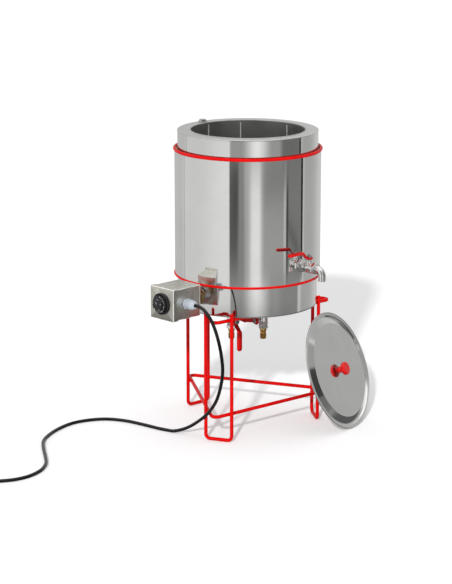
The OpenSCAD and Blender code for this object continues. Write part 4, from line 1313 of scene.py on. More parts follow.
@dataclass(frozen=True)
class Stand:
    """The stand: three rods bent to a U, two bent to triangles, and the welds between them."""

    offset: tuple[float, float] = (-9.5, -1.5)
    azimuths: tuple[float, float, float] = (250.5, 130.5, 10.5)
    reach: float = 209.5
    half: float = 38.5
    top: float = 374.0
    bend: float = 13.0
    rod_d: float = 10.0
    heights: tuple[float, float] = (80.0, 351.0)
    corner_r: float = 14.0
    gap: float = 0.3
    bead: Point = (3.1, 4.6, 5.6)

    def leg_place(self, azimuth: float) -> Place:
        """The foot of a leg: X outwards, Y along its foot rod."""
        out = polar(azimuth) * self.reach
        return Place((out[0] + self.offset[0], out[1] + self.offset[1], 0.0)).spun(azimuth)

    def leg(self, name: str, node: str, azimuth: float) -> None:
        """One leg: down, bent, along the floor, bent, and up again, with domed tops.

        Args:
            name: the piece's name.
            node: the CAD node that it stands for.
            azimuth: the leg's direction from the stand's middle.
        """
        r, h = self.rod_d / 2, self.half
        corners = np.array([[0, -h, self.top - r], [0, -h, r], [0, h, r], [0, h, self.top - r]])
        path, radii = domed(rounded(corners, self.bend, 10, False), r)
        keep = distinct(path)
        grid = rod(path[keep], radii[keep], (1.0, 0.0, 0.0))
        made = Skin(name).grid(grid, False, self.leg_place(azimuth)).piece(ENAMEL)
        settle(made, "root", "red_enamel", node)

    def triangle(self, name: str, node: str, height: float) -> None:
        """One triangle: three corners bent round, the rod's ends welded together.

        Args:
            name: the piece's name.
            node: the CAD node that it stands for.
            height: the rod's axis above the floor.
        """
        cos30, sin30 = math.cos(math.radians(30)), 0.5
        vertex = 2 * (self.half * cos30 + self.reach * sin30 - self.rod_d - self.gap)
        corners = np.array([polar(a) * vertex for a in self.azimuths])
        bent = rod(rounded(corners, self.corner_r, 10), self.rod_d / 2, (0.0, 0.0, 1.0), loop=True)
        made = Skin(name).grid(bent, True, Place((*self.offset, height))).piece(ENAMEL)
        settle(made, "root", "red_enamel", node)

    def welds(self) -> None:
        """The beads where a triangle meets a leg: balls drawn out upwards with a rippled skin.

        With (a, b, c) half the bead's size along each axis, its point for the angles p and t is
        (a cos p cos t, b cos p sin t, c sin p) times 1 + 0.06 sin(5 t + 3 p).
        """
        skin = Skin("stand_welds")
        p = np.linspace(-TURN / 4, TURN / 4, 13)[:, None]
        t = whole_turn(20)[None, :]
        ball = np.stack([np.cos(p) * np.cos(t), np.cos(p) * np.sin(t), np.sin(p) + 0 * t], axis=-1)
        bead = ball * self.bead * (1 + 0.06 * np.sin(5 * t + 3 * p))[..., None]
        sink = (self.rod_d + self.gap) / 2
        for azimuth in self.azimuths:
            for height in self.heights:
                for side in (-1.0, 1.0):
                    rod_at = self.leg_place(azimuth).moved(y=side * self.half, z=height)
                    skin.grid(bead, False, rod_at.spun(60 * side).moved(x=-sink))
        settle(skin.piece(ENAMEL, 80), "root", "red_enamel")

    def build(self) -> None:
        """Makes the whole stand."""
        for name, azimuth in zip(("front", "left", "right"), self.azimuths):
            self.leg(f"stand_leg_{name}", f"leg_{name}", azimuth)
        self.triangle("stand_brace_rod", "brace_triangle", self.heights[0])
        self.triangle("stand_rest_rod", "rest_triangle", self.heights[1])
        self.welds()


@dataclass(frozen=True)
class Tank:
    """The tank: vessel, water jacket, rim, polished sheath and its red edge trims.

    Each trim has the height of its middle and its thickness. The lap's half width is in degrees.
    """

    vessel_r: float = 160.0
    jacket_r: float = 198.0
    clad_r: float = 206.5
    sheet: float = 1.5
    clad_sheet: float = 0.8
    base_z: float = 356.0
    vessel_z: float = 478.0
    rim_z: float = 853.0
    clad_low: float = 442.0
    clad_high: float = 801.0
    seam_azimuth: float = 97.0
    pot_seams: tuple[float, ...] = (45.8, 97.5, 134.4)
    filler_azimuth: float = 136.0
    filler_flats: float = 18.0
    lap_half: float = 2.6
    lap_height: float = 0.7
    rivets: int = 8
    rivet_r: float = 2.6
    trim_high: tuple[float, float] = (800.3, 9.0)
    trim_low: tuple[float, float] = (442.5, 7.0)
    sides: int = 240

    def jacket(self) -> None:
        """The jacket's shell: a rolled sheet with a swaged lip at its foot."""
        low, high = self.base_z + self.sheet, self.rim_z - self.sheet
        out, back = self.jacket_r, self.jacket_r - self.sheet
        line = [[back, low], [out - 0.5, low], [out, low + 2], [out, high - 1.2],
                [out - 0.5, high], [back, high]]
        section = rounded(np.array(line), 0.5, 3)
        made = Skin("tank_jacket").turn(section, Place(), self.sides).piece(COLLAR)
        settle(made, "root", "polished_steel", "jacket_shell")

    def bottom(self) -> None:
        """The jacket's flat bottom, dished a little at its edge."""
        r, z, t = self.jacket_r, self.base_z, self.sheet
        under = np.array([[0, z + 0.4], [r - 16, z + 0.4], [r - 12, z], [r - 0.3, z]])
        section = rounded(np.concatenate([under, under[::-1] + [0, t]]), 0.6, 3, False)
        made = Skin("tank_bottom").knob(section, Place(), self.sides).piece(POT)
        settle(made, "root", "sheet_steel", "jacket_base")

    def vessel(self) -> None:
        """The pot: a wall with a rounded foot and a bead of radius 1.9 rolled over its lip."""
        r, t, z = self.vessel_r, self.sheet, self.vessel_z
        foot = rounded(np.array([[0, z + t], [r, z + t], [r, self.rim_z - 2]]), 9.0, 8, False)
        a = np.linspace(math.pi, -TURN / 8, 14)
        bead = np.stack([r + 1.9 + 1.9 * np.cos(a), self.rim_z - 1.0 + 1.9 * np.sin(a)], axis=1)
        back = rounded(np.array([[r + t, self.rim_z - 4], [r + t, z], [0, z]]), 9.0, 8, False)
        section = np.concatenate([foot, bead, back])
        made = Skin("tank_vessel").knob(section, Place(), self.sides).piece(POT)
        settle(made, "root", "sheet_steel", "wax_vessel")

    def vessel_seam(self) -> None:
        """The welds down the pot's wall: low ridges with a rippled crest.

        A ridge's section is an ellipse 1.6 to each side and h high, with h = 0.7 (1 + 0.2
        sin(1.3 z)) for the height z.
        """
        skin = Skin("tank_vessel_seam")
        z = np.linspace(self.vessel_z + 12, self.rim_z - 6, 220)
        a = whole_turn(12)
        high = 0.7 * (1 + 0.2 * np.sin(z * 1.3))
        x = self.vessel_r - high[:, None] * np.cos(a)[None, :]
        y = 1.6 * np.sin(a)[None, :] + 0 * z[:, None]
        ridge = capped(np.stack([x, y, z[:, None] + 0 * a[None, :]], axis=-1))
        for azimuth in self.pot_seams:
            skin.grid(ridge, False, Place().spun(azimuth))
        settle(skin.piece(replace(WELD, metal=0.2), 60), "root", "sheet_steel")

    def rim(self) -> None:
        """The flat ring on the jacket, folded down at its edge over a fine joint."""
        r, z, t = self.jacket_r, self.rim_z, self.sheet
        inner = self.vessel_r + t + 0.2
        line = [[inner, z - t], [inner, z], [r - 1.0, z], [r + 0.6, z - 0.8],
                [r + 0.6, z - 3.2], [r + 0.1, z - 3.2], [r + 0.1, z - t - 0.1]]
        section = rounded(np.array(line), np.array([0.2, 0.4, 1.0, 0.8, 0.2, 0.1, 0.1]), 4)
        made = Skin("tank_rim").turn(section, Place(), self.sides).piece(RIM)
        settle(made, "root", "polished_steel", "top_rim")

    def sheath(self) -> None:
        """The polished sheath: one thin sheet, with rows of points between its edges."""
        r, t = self.clad_r, self.clad_sheet
        section = ring_section(r - t, r, self.clad_low, self.clad_high, 0.2)
        tall = np.linspace(self.clad_low + 1, self.clad_high - 1, 12)
        outer = np.stack([np.full(12, r), tall], axis=1)
        cut = np.argmax(section[:, 1] > self.clad_low + 10)
        section = np.concatenate([section[:cut], outer, section[cut:]])
        made = Skin("tank_sheath").turn(section, Place(), self.sides).piece(MIRROR)
        settle(made, "root", "polished_steel", "cladding_sheath")

    def lap(self) -> None:
        """The sheath's lapped seam at the back, held by a row of domed rivets.

        With (c, s) the points of a superellipse, the strip's point is (R cos a, R sin a, z), where
        a is the seam's azimuth + the lap's half width times c, and R = the sheath's radius + 0.3 +
        0.45 s. Both ends shrink to a point.
        """
        skin = Skin("sheath_lap")
        c, s = superellipse(28, 20 / 3)
        a = np.radians(self.seam_azimuth) + np.radians(self.lap_half) * c
        r = self.clad_r + 0.3 + 0.45 * s
        low, high = self.clad_low + 5, self.clad_high - 6
        z = np.array([low, low, high, high])
        size = np.array([0.0, 1.0, 1.0, 0.0])[:, None]
        middle = self.clad_r * polar(self.seam_azimuth)
        x = middle[0] + size * (r * np.cos(a) - middle[0])
        y = middle[1] + size * (r * np.sin(a) - middle[1])
        skin.grid(np.stack([x, y, z[:, None] + 0 * x], axis=-1))
        dome = quarter_turn(7)
        head = np.stack([self.rivet_r * np.cos(dome), 1.2 * np.sin(dome)], axis=1)
        rivet = np.concatenate([[[0.0, -0.4], [self.rivet_r, -0.4]], head])
        for z_at in np.linspace(self.clad_low + 22, self.clad_high - 22, self.rivets):
            face = Place.facing(self.seam_azimuth, self.clad_r + self.lap_height, z_at)
            skin.knob(rivet, face.laid(), 20)
        settle(skin.piece(COLLAR), "root", "polished_steel")

    def trim(self, name: str, node: str, height: float, thickness: float) -> None:
        """A red rubber trim: a ring whose round section is a little taller than it is wide.

        The section's radius at the angle a is thickness / 2 (1 - 0.04 cos(2 a)).

        Args:
            name: the piece's name.
            node: the CAD node that it stands for.
            height: the height of its middle.
            thickness: the diameter of its section.
        """
        a = whole_turn(20)
        r = thickness / 2 * (1 - 0.04 * np.cos(2 * a))
        middle = self.clad_r - self.clad_sheet / 2
        section = np.stack([middle + r * np.cos(a), height + r * np.sin(a)], axis=1)
        made = Skin(name).turn(section, Place(), self.sides).piece(TRIM, 60)
        settle(made, "root", "red_rubber", node)

    def filler(self) -> None:
        """The filling plug: a raised seat ring and a chamfered hexagon with a dished top."""
        r = (self.vessel_r + self.sheet + self.jacket_r) / 2
        place = Place.facing(self.filler_azimuth, r, self.rim_z)
        skin = Skin("filler_cap")
        skin.turn(ring_section(8.0, 13.0, 0.0, 3.0, 0.7), place, 48)
        thread = [[0.0, -9.0], [8.0, -9.0], [8.0, 3.0]]
        head = nut_profile(self.filler_flats, 3.0, 8.0, 0.0)[1:-1]
        head = np.concatenate([thread, head, [[6.0, 8.0], [5.0, 7.2], [0, 7.2]]])
        skin.knob(head, place, 48, self.filler_flats)
        settle(skin.piece(ZINC), "root", "zinc_steel", "filler_plug")

    def build(self) -> None:
        """Makes the whole tank."""
        self.jacket()
        self.bottom()
        self.vessel()
        self.vessel_seam()
        self.rim()
        self.sheath()
        self.lap()
        self.trim("sheath_trim_upper", "upper_edge_trim", *self.trim_high)
        self.trim("sheath_trim_lower", "lower_edge_trim", *self.trim_low)
        self.filler()


@dataclass(frozen=True)
class Valve:
    """A ball valve: a cast body with hexagon ends, a packing nut and a cranked lever.

    The place has X along the flow and Z along the stem. The sizes with defaults are those of a
    body of full size, which the scale makes smaller; levers and their nuts are of one size.
    """

    name: str
    place: Place
    scale: float
    body: str
    closed_angle: float
    reach: float = 29.0
    flats: float = 31.0
    barrel: float = 17.2
    bore: float = 8.5
    pipe_r: float = 13.35
    pipe_end: float = 19.0
    ball_r: float = 12.5
    stem_r: float = 5.1
    packing_flats: float = 19.0
    packing_low: float = 21.0
    hub: float = 28.0
    hub_t: float = 3.0
    hub_bore: float = 4.2

    def node(self, part: str) -> str:
        """The CAD node's name for one of the valve's parts."""
        return f"{self.name}_{part}"

    def housing(self) -> None:
        """The body: hexagon ends, a bulged barrel between them and a boss for the stem.

        With k the scale, the barrel's radius is 16.5 k (1 - 0.16 |s|^3) for s from -1 to 1 along
        it, and the ball's seat is an arc 0.3 larger than the ball, from the bore to the bore.
        """
        k = self.scale
        skin = Skin(f"{self.name}_valve")
        flow = self.place.laid()
        bore, flats, half = self.bore * k, self.flats * k, self.barrel * k
        for way in (flow.upended(), flow):
            skin.turn(nut_profile(flats, 17 * k, self.reach * k, 13.5 * k), way, 48, flats)
            skin.turn(ring_section(bore, 13.6 * k, 18.6 * k, 28.2 * k, 0.5), way, 40)
        s = np.linspace(-1, 1, 17)
        bulge = np.stack([16.5 * k * (1 - 0.16 * np.abs(s) ** 3), half * s], axis=1)
        room = self.ball_r * k + 0.3
        edge = math.acos(bore / room)
        a = np.linspace(edge, -edge, 15)
        seat = np.stack([room * np.cos(a), room * np.sin(a)], axis=1)
        skin.turn(np.concatenate([bulge, [[bore, half]], seat, [[bore, -half]]]), flow, 56)
        skin.turn(ring_section(13.0 * k, 16.9 * k, 9.0 * k, 11.5 * k, 0.5), flow, 56)
        stem, low = self.stem_r, self.packing_low
        neck = np.array([[stem, 12], [12.5, 11], [9.5, 16], [9.5, low], [stem, low]]) * k
        skin.turn(rounded(neck, 1.2 * k, 4), self.place, 40)
        packing = nut_profile(self.packing_flats * k, low * k, 26 * k, stem * k)
        skin.turn(packing, self.place, 48, self.packing_flats * k)
        settle(skin.piece(NICKEL), "root", "nickelled_brass", self.node("body"))

    def lever(self) -> None:
        """The lever: a punched hub, a blade cranked upwards and a thick dipped grip.

        The grip is 16 wide and 8 high, from 26 to 84 out from the stem. Its inner end is rounded
        over 2, and at its tip each size falls to nothing as a half circle over its last half.
        """
        skin = Skin(f"{self.name}_handle")
        place, level = self.handle_place(), (0.0, 1.0, 0.0)
        skin.turn(ring_section(self.hub_bore, 11.0, 0.0, self.hub_t, 0.8), place, 48)
        line = np.array([[5.0, 0, 1.5], [11, 0, 1.5], [27, 0, 19.5], [44, 0, 19.5]])
        path = rounded(line, 7.0, 8, False)
        path = path[distinct(path)]
        size = np.ones(len(path) + 2)
        size[[0, -1]] = 0.0
        path = np.concatenate([path[:1] - [0.001, 0, 0], path, path[-1:] + [0.001, 0, 0]])
        skin.grid(bar(path, 12.8 * size, self.hub_t * size, level, 7, 28), False, place)
        turn = quarter_turn(9)
        x = np.concatenate([28 - 2 * np.cos(turn), np.linspace(30, 74, 14), 76 + 8 * np.sin(turn)])
        start = np.sqrt(np.clip(1 - (np.minimum(x - 28, 0) / 2) ** 2, 0, 1))
        wide, high = (start * self.ended(x, 84.0, full) for full in (16.0, 8.0))
        rise = 19.5 - 3.0 * np.clip((30 - x) / 6, 0, 1)
        grip = np.stack([x, 0 * x, rise], axis=1)
        skin.grid(bar(grip, wide, high, level, 3.2, 32), False, place)
        settle(skin.piece(GRIP, 50), self.body, "red_grip", self.node("lever"))

    def handle_place(self) -> Place:
        """The underside of the lever's hub, with X along the lever."""
        return self.place.spun(self.closed_angle).moved(z=self.hub * self.scale)

    @staticmethod
    def ended(x: Array, tip: float, size: float) -> Array:
        """A size along X that falls to nothing at a tip.

        Args:
            x: the places along X.
            tip: where the size is nothing.
            size: the full size; it falls as a half circle over the last half of that.

        Returns:
            The size at each place.
        """
        near = np.maximum(x - (tip - size / 2), 0) / (size / 2)
        return size * np.sqrt(np.clip(1 - near**2, 0, 1))

    def nut(self) -> None:
        """The lever's nut, with the stem's threaded end standing through it.

        The thread's radius is 3.9 less six cosine waves 0.25 deep.
        """
        skin = Skin(f"{self.name}_handle_nut")
        place = self.handle_place().moved(z=self.hub_t)
        skin.turn(nut_profile(13.0, 0.0, 6.0, self.hub_bore), place, 48, 13.0)
        s = np.linspace(0, 1, 25)
        thread = np.stack([3.9 - 0.25 * (0.5 + 0.5 * np.cos(TURN * 6 * s)), 1.0 + 6.4 * s], axis=1)
        skin.knob(np.concatenate([[[0, 1.0]], thread, [[3.2, 8.0], [0, 8.0]]]), place, 28)
        settle(skin.piece(ZINC), self.body, "zinc_steel", self.node("nut"))

    def build(self) -> None:
        """Makes the valve's housing, lever and nut."""
        self.housing()
        self.lever()
        self.nut()


@dataclass(frozen=True)
class Tap:
    """The pouring tap: its pipe and collar, its valve and the chromed elbow."""

    azimuth: float = -44.0
    height: float = 493.0
    stem_r: float = 236.6
    clad_r: float = 206.5
    scale: float = 0.9
    bend: float = 18.0
    drop: float = 13.0
    outer: float = 10.75
    bore: float = 8.25
    inlet: float = 157.0
    collar_flats: float = 34.0
    elbow_flats: float = 27.0

    def pipe(self) -> None:
        """The pipe through the tank's wall and its hexagon collar on the sheath."""
        place = Place.facing(self.azimuth, 0, self.height).laid()
        k, low, flats = self.scale, self.clad_r + 0.2, self.collar_flats
        tube = ring_section(Valve.bore * k, Valve.pipe_r * k, self.inlet,
                            self.stem_r - Valve.pipe_end * k, 0.4)
        skin = Skin("tap_pipe").turn(tube, place, 48)
        skin.turn(nut_profile(flats, low, low + 3.0, 13.3 * k), place, 48, flats)
        settle(skin.piece(NICKEL), "root", "zinc_steel", "tap_nipple")

    def elbow(self) -> None:
        """The elbow: a hexagon, and a pipe that turns down a quarter circle to an open end.

        Its line is (start + R sin a, 0, R cos a - R) for the bend's radius R, with a straight drop
        after it, and its outer and inner skins are rods along that line.
        """
        place, across = self.place(), (0.0, 1.0, 0.0)
        k, flats = self.scale, self.elbow_flats
        face = Valve.reach * k + 0.2
        start = face + 4.0
        skin = Skin("tap_elbow")
        skin.turn(nut_profile(flats, face, start, self.bore), place.laid(), 48, flats)
        low = Valve.pipe_end * k + 0.2
        thread = ring_section(self.bore, Valve.pipe_r * k, low, face + 0.5, 0.3)
        skin.turn(thread, place.laid(), 48)
        a = quarter_turn(15)
        arc = np.stack([start + self.bend * np.sin(a), 0 * a, self.bend * (np.cos(a) - 1)], axis=1)
        drop = arc[-1] - [0, 0, self.drop]
        path = np.concatenate([[arc[0] - [2.5, 0, 0]], arc, [drop - [0, 0, -0.6], drop]])
        size = np.full(len(path), self.outer)
        size[-1] -= 0.5
        outside, inside = rod(path, size, across, 40), rod(path, self.bore, across, 40)
        skin.grid(np.concatenate([outside, inside[::-1]]), True, place)
        steps = np.array([-0.9, -0.5, 0.0, 0.5, 0.9])[:, None]
        line = path[2:4].mean(axis=0) + steps * [1.0, 0.0, 0.0]
        bead = rod(line, np.array([10.4, 11.4, 11.8, 11.4, 10.4]), across, 40)
        skin.grid(capped(bead), False, place)
        settle(skin.piece(CHROME), "root", "chrome_plate", "tap_spout")

    def place(self) -> Place:
        """The valve's place: X along the flow, Z up the stem."""
        return Place.facing(self.azimuth, self.stem_r, self.height)

    def build(self) -> None:
        """Makes the whole tap."""
        self.pipe()
        Valve("tap", self.place(), self.scale, "tap_handle", -90.0).build()
        self.elbow()


@dataclass(frozen=True)
class Drain:
    """A drain under the tank: its pipe, its valve and the brass tail for a hose."""

    name: str
    x: float
    stem_azimuth: float
    closed_angle: float
    pipe_top: float
    body: str
    height: float = 300.0
    scale: float = 0.83
    tail_z: float = 245.0
    tail_r: float = 9.5
    tail_bore: float = 6.5
    fillet_low: float = 352.8
    tank_z: float = 356.0

    def place(self) -> Place:
        """The valve's place.

        Returns:
            The place, with X down along the flow and Z out along the stem.
        """
        out = polar(self.stem_azimuth)
        over = polar(self.stem_azimuth + 90)
        return Place((self.x, 0.0, self.height), (0.0, 0.0, -1.0), tuple(over), tuple(out))

    def pipe(self) -> None:
        """The pipe down from the tank, with a weld fillet under the tank's bottom.

        The fillet's point for the angle a is 3.4 (1 - cos a) out and 3.2 sin a up.
        """
        k, z = self.scale, self.fillet_low
        low = self.height + Valve.pipe_end * k
        place = Place((self.x, 0.0, 0.0))
        tube = ring_section(Valve.bore * k, Valve.pipe_r * k, low, self.pipe_top, 0.4)
        skin = Skin(f"{self.name}_pipe").turn(tube, place, 40)
        a = quarter_turn(7)
        fillet = np.stack([13.3 * k + 3.4 * (1 - np.cos(a)), z + 3.2 * np.sin(a)], axis=1)
        section = np.concatenate([[[13.0 * k, z]], fillet, [[13.0 * k, self.tank_z]]])
        skin.turn(section, place, 40)
        settle(skin.piece(NICKEL), "root", "zinc_steel", f"{self.name}_nipple")

    def tail(self) -> None:
        """The brass tail: a shoulder, three hose barbs and an open end."""
        top = self.height - Valve.reach * self.scale - 0.2
        low, r, bore = self.tail_z, self.tail_r, self.tail_bore
        barbs = [[bore, low], [r - 2.0, low], [r, low + 5.0], [r - 1.3, low + 5.6]]
        for step in (10.6, 16.2):
            barbs += [[r - 1.3, low + step - 4.6], [r, low + step], [r - 1.3, low + step + 0.6]]
        barbs += [[r - 1.3, top - 7.4], [r - 0.2, top - 7.0], [r + 0.4, top - 6.2],
                  [r + 0.4, top - 0.4], [r - 0.4, top], [r - 0.4, top + 7.4], [bore, top + 7.4]]
        skin = Skin(f"{self.name}_hose_tail")
        skin.turn(rounded(np.array(barbs), 0.35, 3), Place((self.x, 0.0, 0.0)), 56)
        settle(skin.piece(BRASS), "root", "plain_brass", f"{self.name}_tail")

    def build(self) -> None:
        """Makes the whole drain."""
        self.pipe()
        Valve(self.name, self.place(), self.scale, self.body, self.closed_angle).build()
        self.tail()


@dataclass(frozen=True)
class ControlBox:
    """The heater's fittings, the folded steel box on its neck, the dial and the gland."""

    azimuth: float = -134.5
    side: float = 18.0
    height: float = 410.0
    jacket_r: float = 198.0
    back: float = 247.5
    rise: float = 3.4
    width: float = 92.0
    depth: float = 104.0
    tall: float = 91.0
    sheet: float = 1.5
    flange: float = 17.0
    fold: float = 2.2
    slide: float = 0.2
    gland_back: float = 55.0
    boss_r: float = 23.0
    boss_end: float = 209.0
    neck_bore: float = 9.5
    head_flats: float = 42.0
    dial_turn: float = 215.0

    def heater(self) -> Place:
        """The heater's axis, with X out of the tank."""
        return Place.facing(self.azimuth, 0.0, self.height, self.side)

    def box(self) -> Place:
        """The middle of the box's back face, with X towards the dial."""
        return self.heater().moved(self.back, 0.0, self.rise)

    def gland(self) -> Place:
        """The gland's hole in the box's side, with Z outwards."""
        place = self.box().moved(self.gland_back, self.width / 2)
        return replace(place, y=tuple(-np.array(place.z)), z=place.y)

    def socket(self) -> None:
        """The welded ring in the jacket and the heater's brass head and neck.

        The weld's line is the ring's edge on the jacket, where x^2 + (y + side)^2 = R^2, and its
        radius at the angle a is 2.1 (1 + 0.08 sin(21 a)).
        """
        place, out = self.heater().laid(), self.boss_end
        reach = math.sqrt(self.jacket_r**2 - self.boss_r**2) - 20.0
        skin = Skin("heater_socket")
        skin.turn(ring_section(16.7, self.boss_r, reach, out, 0.8), place, 64)
        a, s = whole_turn(64), whole_turn(10)[None, :, None]
        edge = self.boss_r + 0.4
        x = np.sqrt(self.jacket_r**2 - (edge * np.cos(a) + self.side) ** 2)
        way = np.stack([0 * a, np.cos(a), np.sin(a)], axis=1)[:, None]
        ring = x[:, None, None] * [1.0, 0.0, 0.0] + edge * way
        bead = (2.1 * (1 + 0.08 * np.sin(21 * a)))[:, None, None]
        grid = ring + bead * (np.cos(s) * way + np.sin(s) * [1.0, 0.0, 0.0])
        skin.grid(grid, True, self.heater())
        settle(skin.piece(ZINC), "root", "zinc_steel", "heater_boss")
        head, bore, flats = Skin("heater_head_brass"), self.neck_bore, self.head_flats
        head.turn(nut_profile(flats, out, out + 12.0, bore), place, 48, flats)
        for radius, low, high, ease in ((20.4, out - 0.6, out + 1.2, 0.4),
                                        (13.0, out + 11.0, self.back + 9.5, 0.6),
                                        (14.6, out + 12.0, out + 15.5, 0.8),
                                        (16.5, out - 19.0, out + 0.2, 0.5)):
            head.turn(ring_section(bore, radius, low, high, ease), place, 48)
        settle(head.piece(AGED), "root", "plain_brass", "heater_head")

    def finish(self, name: str, inset: float) -> Finish:
        """The case's brushed finish, with a painted highlight along the folded edges.

        Args:
            name: the material's name.
            inset: distance of the piece's faces inside the case's faces.

        Returns:
            The finish, with its block in place.
        """
        middle = tuple(np.array(self.box().moved(self.depth / 2).origin) * MM)
        half = tuple((np.array([self.depth, self.width, self.tall]) / 2 - inset) * MM)
        turn = (0.0, 0.0, math.radians(self.azimuth))
        return replace(BRUSHED, name=name, centre=middle, lean=turn, block=half)

    def bend(self, high: float, wide: float) -> Array:
        """The folded edge of a closed end at 0, as levels for a stack of rounded rectangles.

        With f the fold's radius, the angle a gives (f (1 - cos a), high - f + f sin a,
        wide - f + f sin a).

        Args:
            high: half the height of the box.
            wide: half its width.

        Returns:
            Rows of depth, half height and half width.
        """
        a, f = quarter_turn(5), self.fold
        side = f * np.sin(a) - f
        return np.stack([f * (1 - np.cos(a)), high + side, wide + side], axis=1)

    def shell(self) -> None:
        """The folded box, open at the front: an outer and an inner skin of rounded rectangles."""
        t, inset = self.sheet, self.sheet + self.slide
        h, w, front = self.tall / 2 - inset, self.width / 2 - inset, self.depth - inset
        bend = self.bend(h, w)
        inner = bend[::-1] + [t, -t, -t]
        levels = np.concatenate([[[0, 0, 0]], bend, [[front, h, w], [front, h - t, w - t]],
                                 inner, [[t, 0, 0]]])
        skin = Skin("case_shell").grid(boxed(levels, self.fold), False, self.box().laid())
        made = skin.piece(self.finish("brushed_shell_steel", inset))
        settle(made, "root", "box_steel", "box_shell")

    def cover(self) -> None:
        """The front cover: a tray whose flange slides over the shell, its corners welded."""
        w, h, t = self.width / 2, self.tall / 2, self.sheet
        low, high = self.depth - self.flange, self.depth
        bend = self.bend(h, w) * [-1, 1, 1] + [high, 0, 0]
        lip = [[low + 0.3, h, w], [low, h - 0.3, w - 0.3], [low, h - t, w - t]]
        levels = np.concatenate([[[high, 0, 0]], bend, lip, bend[::-1] - t, [[high - t, 0, 0]]])
        skin = Skin("case_cover").grid(boxed(levels, self.fold), False, self.box().laid())
        made = skin.piece(self.finish("brushed_cover_steel", 0.0))
        settle(made, "root", "box_steel", "box_cover")

    def screws(self) -> None:
        """The cover's screws, two under it and two in its side: pan heads with a round recess."""
        skin = Skin("case_screws")
        x = self.depth - self.flange / 2
        head = screw_profile(3.2, 1.8, 1.75, 7.0, 0.9, [[0.8, 0.9], [0, 0.8]])
        for side in (-1.0, 1.0):
            under = self.box().moved(x, side * 0.3 * self.width, -self.tall / 2).upended()
            wall = self.box().moved(x, -self.width / 2, side * 0.3 * self.tall)
            wall = replace(wall, y=wall.z, z=tuple(-np.array(wall.y)))
            for place in (under, wall):
                skin.knob(head, place, 24)
        settle(skin.piece(ZINC), "root", "zinc_steel", "cover_screws")

    def dial(self) -> None:
        """The dial: a bezel ring fixed on the cover, and a fluted knob with a grip bar."""
        face = self.box().moved(self.depth).laid()
        ring = np.array([[5.7, 0], [30, 0], [30, 5.4], [28.6, 7], [27.6, 7], [27, 6.2], [27, 2],
                         [5.7, 2]])
        bezel = Skin("dial_ring").turn(rounded(ring, 0.7, 4), face, 120, None, (60, 0.35, 0.4, 5.5))
        settle(bezel.piece(BLACK), "root", "black_plastic", "dial_bezel")
        skirt = np.array([[0, 3], [24.2, 3], [25, 4], [25, 10.6], [23.6, 12], [19.5, 12],
                          [18.6, 12.8], [18, 18.2], [17, 19], [13.2, 19], [12.4, 18.2], [0, 18.2]])
        skirt = rounded(skirt, 0.7, 4, False)
        knob = Skin("dial_knob").knob(skirt, face, 120, None, (40, 0.7, 3.8, 10.8))
        knob.knob(np.array([[0, -13.8], [3, -13.8], [3, 3.2], [0, 3.2]]), face, 24)
        grip = brick(34.0, 9.0, 5.4, 1.2)
        knob.grid(grip, False, face.spun(self.dial_turn - 180).moved(z=13.6))
        settle(knob.piece(BLACK), "knob", "black_plastic", "control_knob")

    def scale(self) -> None:
        """The dial's print: ticks round the skirt, a pointer and plain numbers for the heat.

        Ticks stand every 15 degrees over 270, and the numbers 30 to 110 on every third tick. The
        pointer stands in the middle of the gap, up and to the left.
        """
        face = self.box().moved(self.depth).laid().spun(self.dial_turn)
        skin = Skin("dial_marks")
        for i in range(19):
            way = face.spun(45 + 15 * i)
            long = 3.4 if i % 3 == 0 else 2.2
            skin.grid(brick(long, 0.9, 0.16, 0.05), False, way.moved(21.4, 0, 11.95))
        skin.grid(brick(9.0, 2.2, 0.9, 0.05), False, face.moved(7.4, 0, 18.1))
        made = skin.piece(PRINT)
        for i, number in enumerate(("30", "50", "70", "90", "110")):
            self.number(made, number, face.spun(45 + 67.5 * i).moved(15.1, 0, 18.95))
        settle(made, "knob", "white_plastic")

    def number(self, piece: bpy.types.Object, text: str, place: Place) -> None:
        """Adds one raised number to a piece, its foot towards the dial's middle.

        Args:
            piece: the piece that takes the number's mesh.
            text: the digits.
            place: the middle of the number, with X away from the dial's axis.
        """
        curve = bpy.data.curves.new("number", "FONT")
        curve.body = text
        curve.size = 3.4
        curve.extrude = 0.1
        curve.align_x, curve.align_y = "CENTER", "CENTER"
        shape = linked("number", curve)
        bpy.context.view_layer.update()
        graph = bpy.context.evaluated_depsgraph_get()
        flat = bpy.data.meshes.new_from_object(shape.evaluated_get(graph))
        bpy.data.objects.remove(shape)
        points = np.zeros(len(flat.vertices) * 3)
        flat.vertices.foreach_get("co", points)
        local = points.reshape(-1, 3)[:, [1, 0, 2]] * [1, -1, 1]
        flat.vertices.foreach_set("co", (place.put(local) * MM).ravel())
        work = bmesh.new()
        work.from_mesh(piece.data)
        work.from_mesh(flat)
        work.to_mesh(piece.data)
        work.free()

    def gland_parts(self) -> None:
        """The cable gland: a hexagon base, and a fluted cap that tapers onto the cord."""
        place = self.gland()
        base = Skin("gland_base")
        base.turn(nut_profile(27.0, -1.5, 6.0, 5.0), place, 48, 27.0)
        base.turn(ring_section(5.0, 10.5, 5.5, 18.0, 0.4), place, 48)
        base.turn(ring_section(5.0, 10.0, -10.7, -1.5, 0.4), place, 48)
        settle(base.piece(GREY), "root", "grey_plastic", "gland_body")
        cap = np.array([[10.7, 6.2], [13.6, 6.2], [14, 6.8], [14, 22], [13.4, 24.5], [9.6, 34],
                        [9, 35], [5.6, 35], [5.0, 34.4], [5.0, 18.4], [10.7, 18.4]])
        skin = Skin("gland_cap").turn(rounded(cap, 0.7, 4), place, 96, None, (12, 1.1, 6.6, 23.5))
        settle(skin.piece(GREY), "root", "grey_plastic", "gland_nut")

    def build(self) -> None:
        """Makes the heater's fittings and the whole box."""
        self.socket()
        self.shell()
        self.cover()
        self.screws()
        self.dial()
        self.scale()
        self.gland_parts()


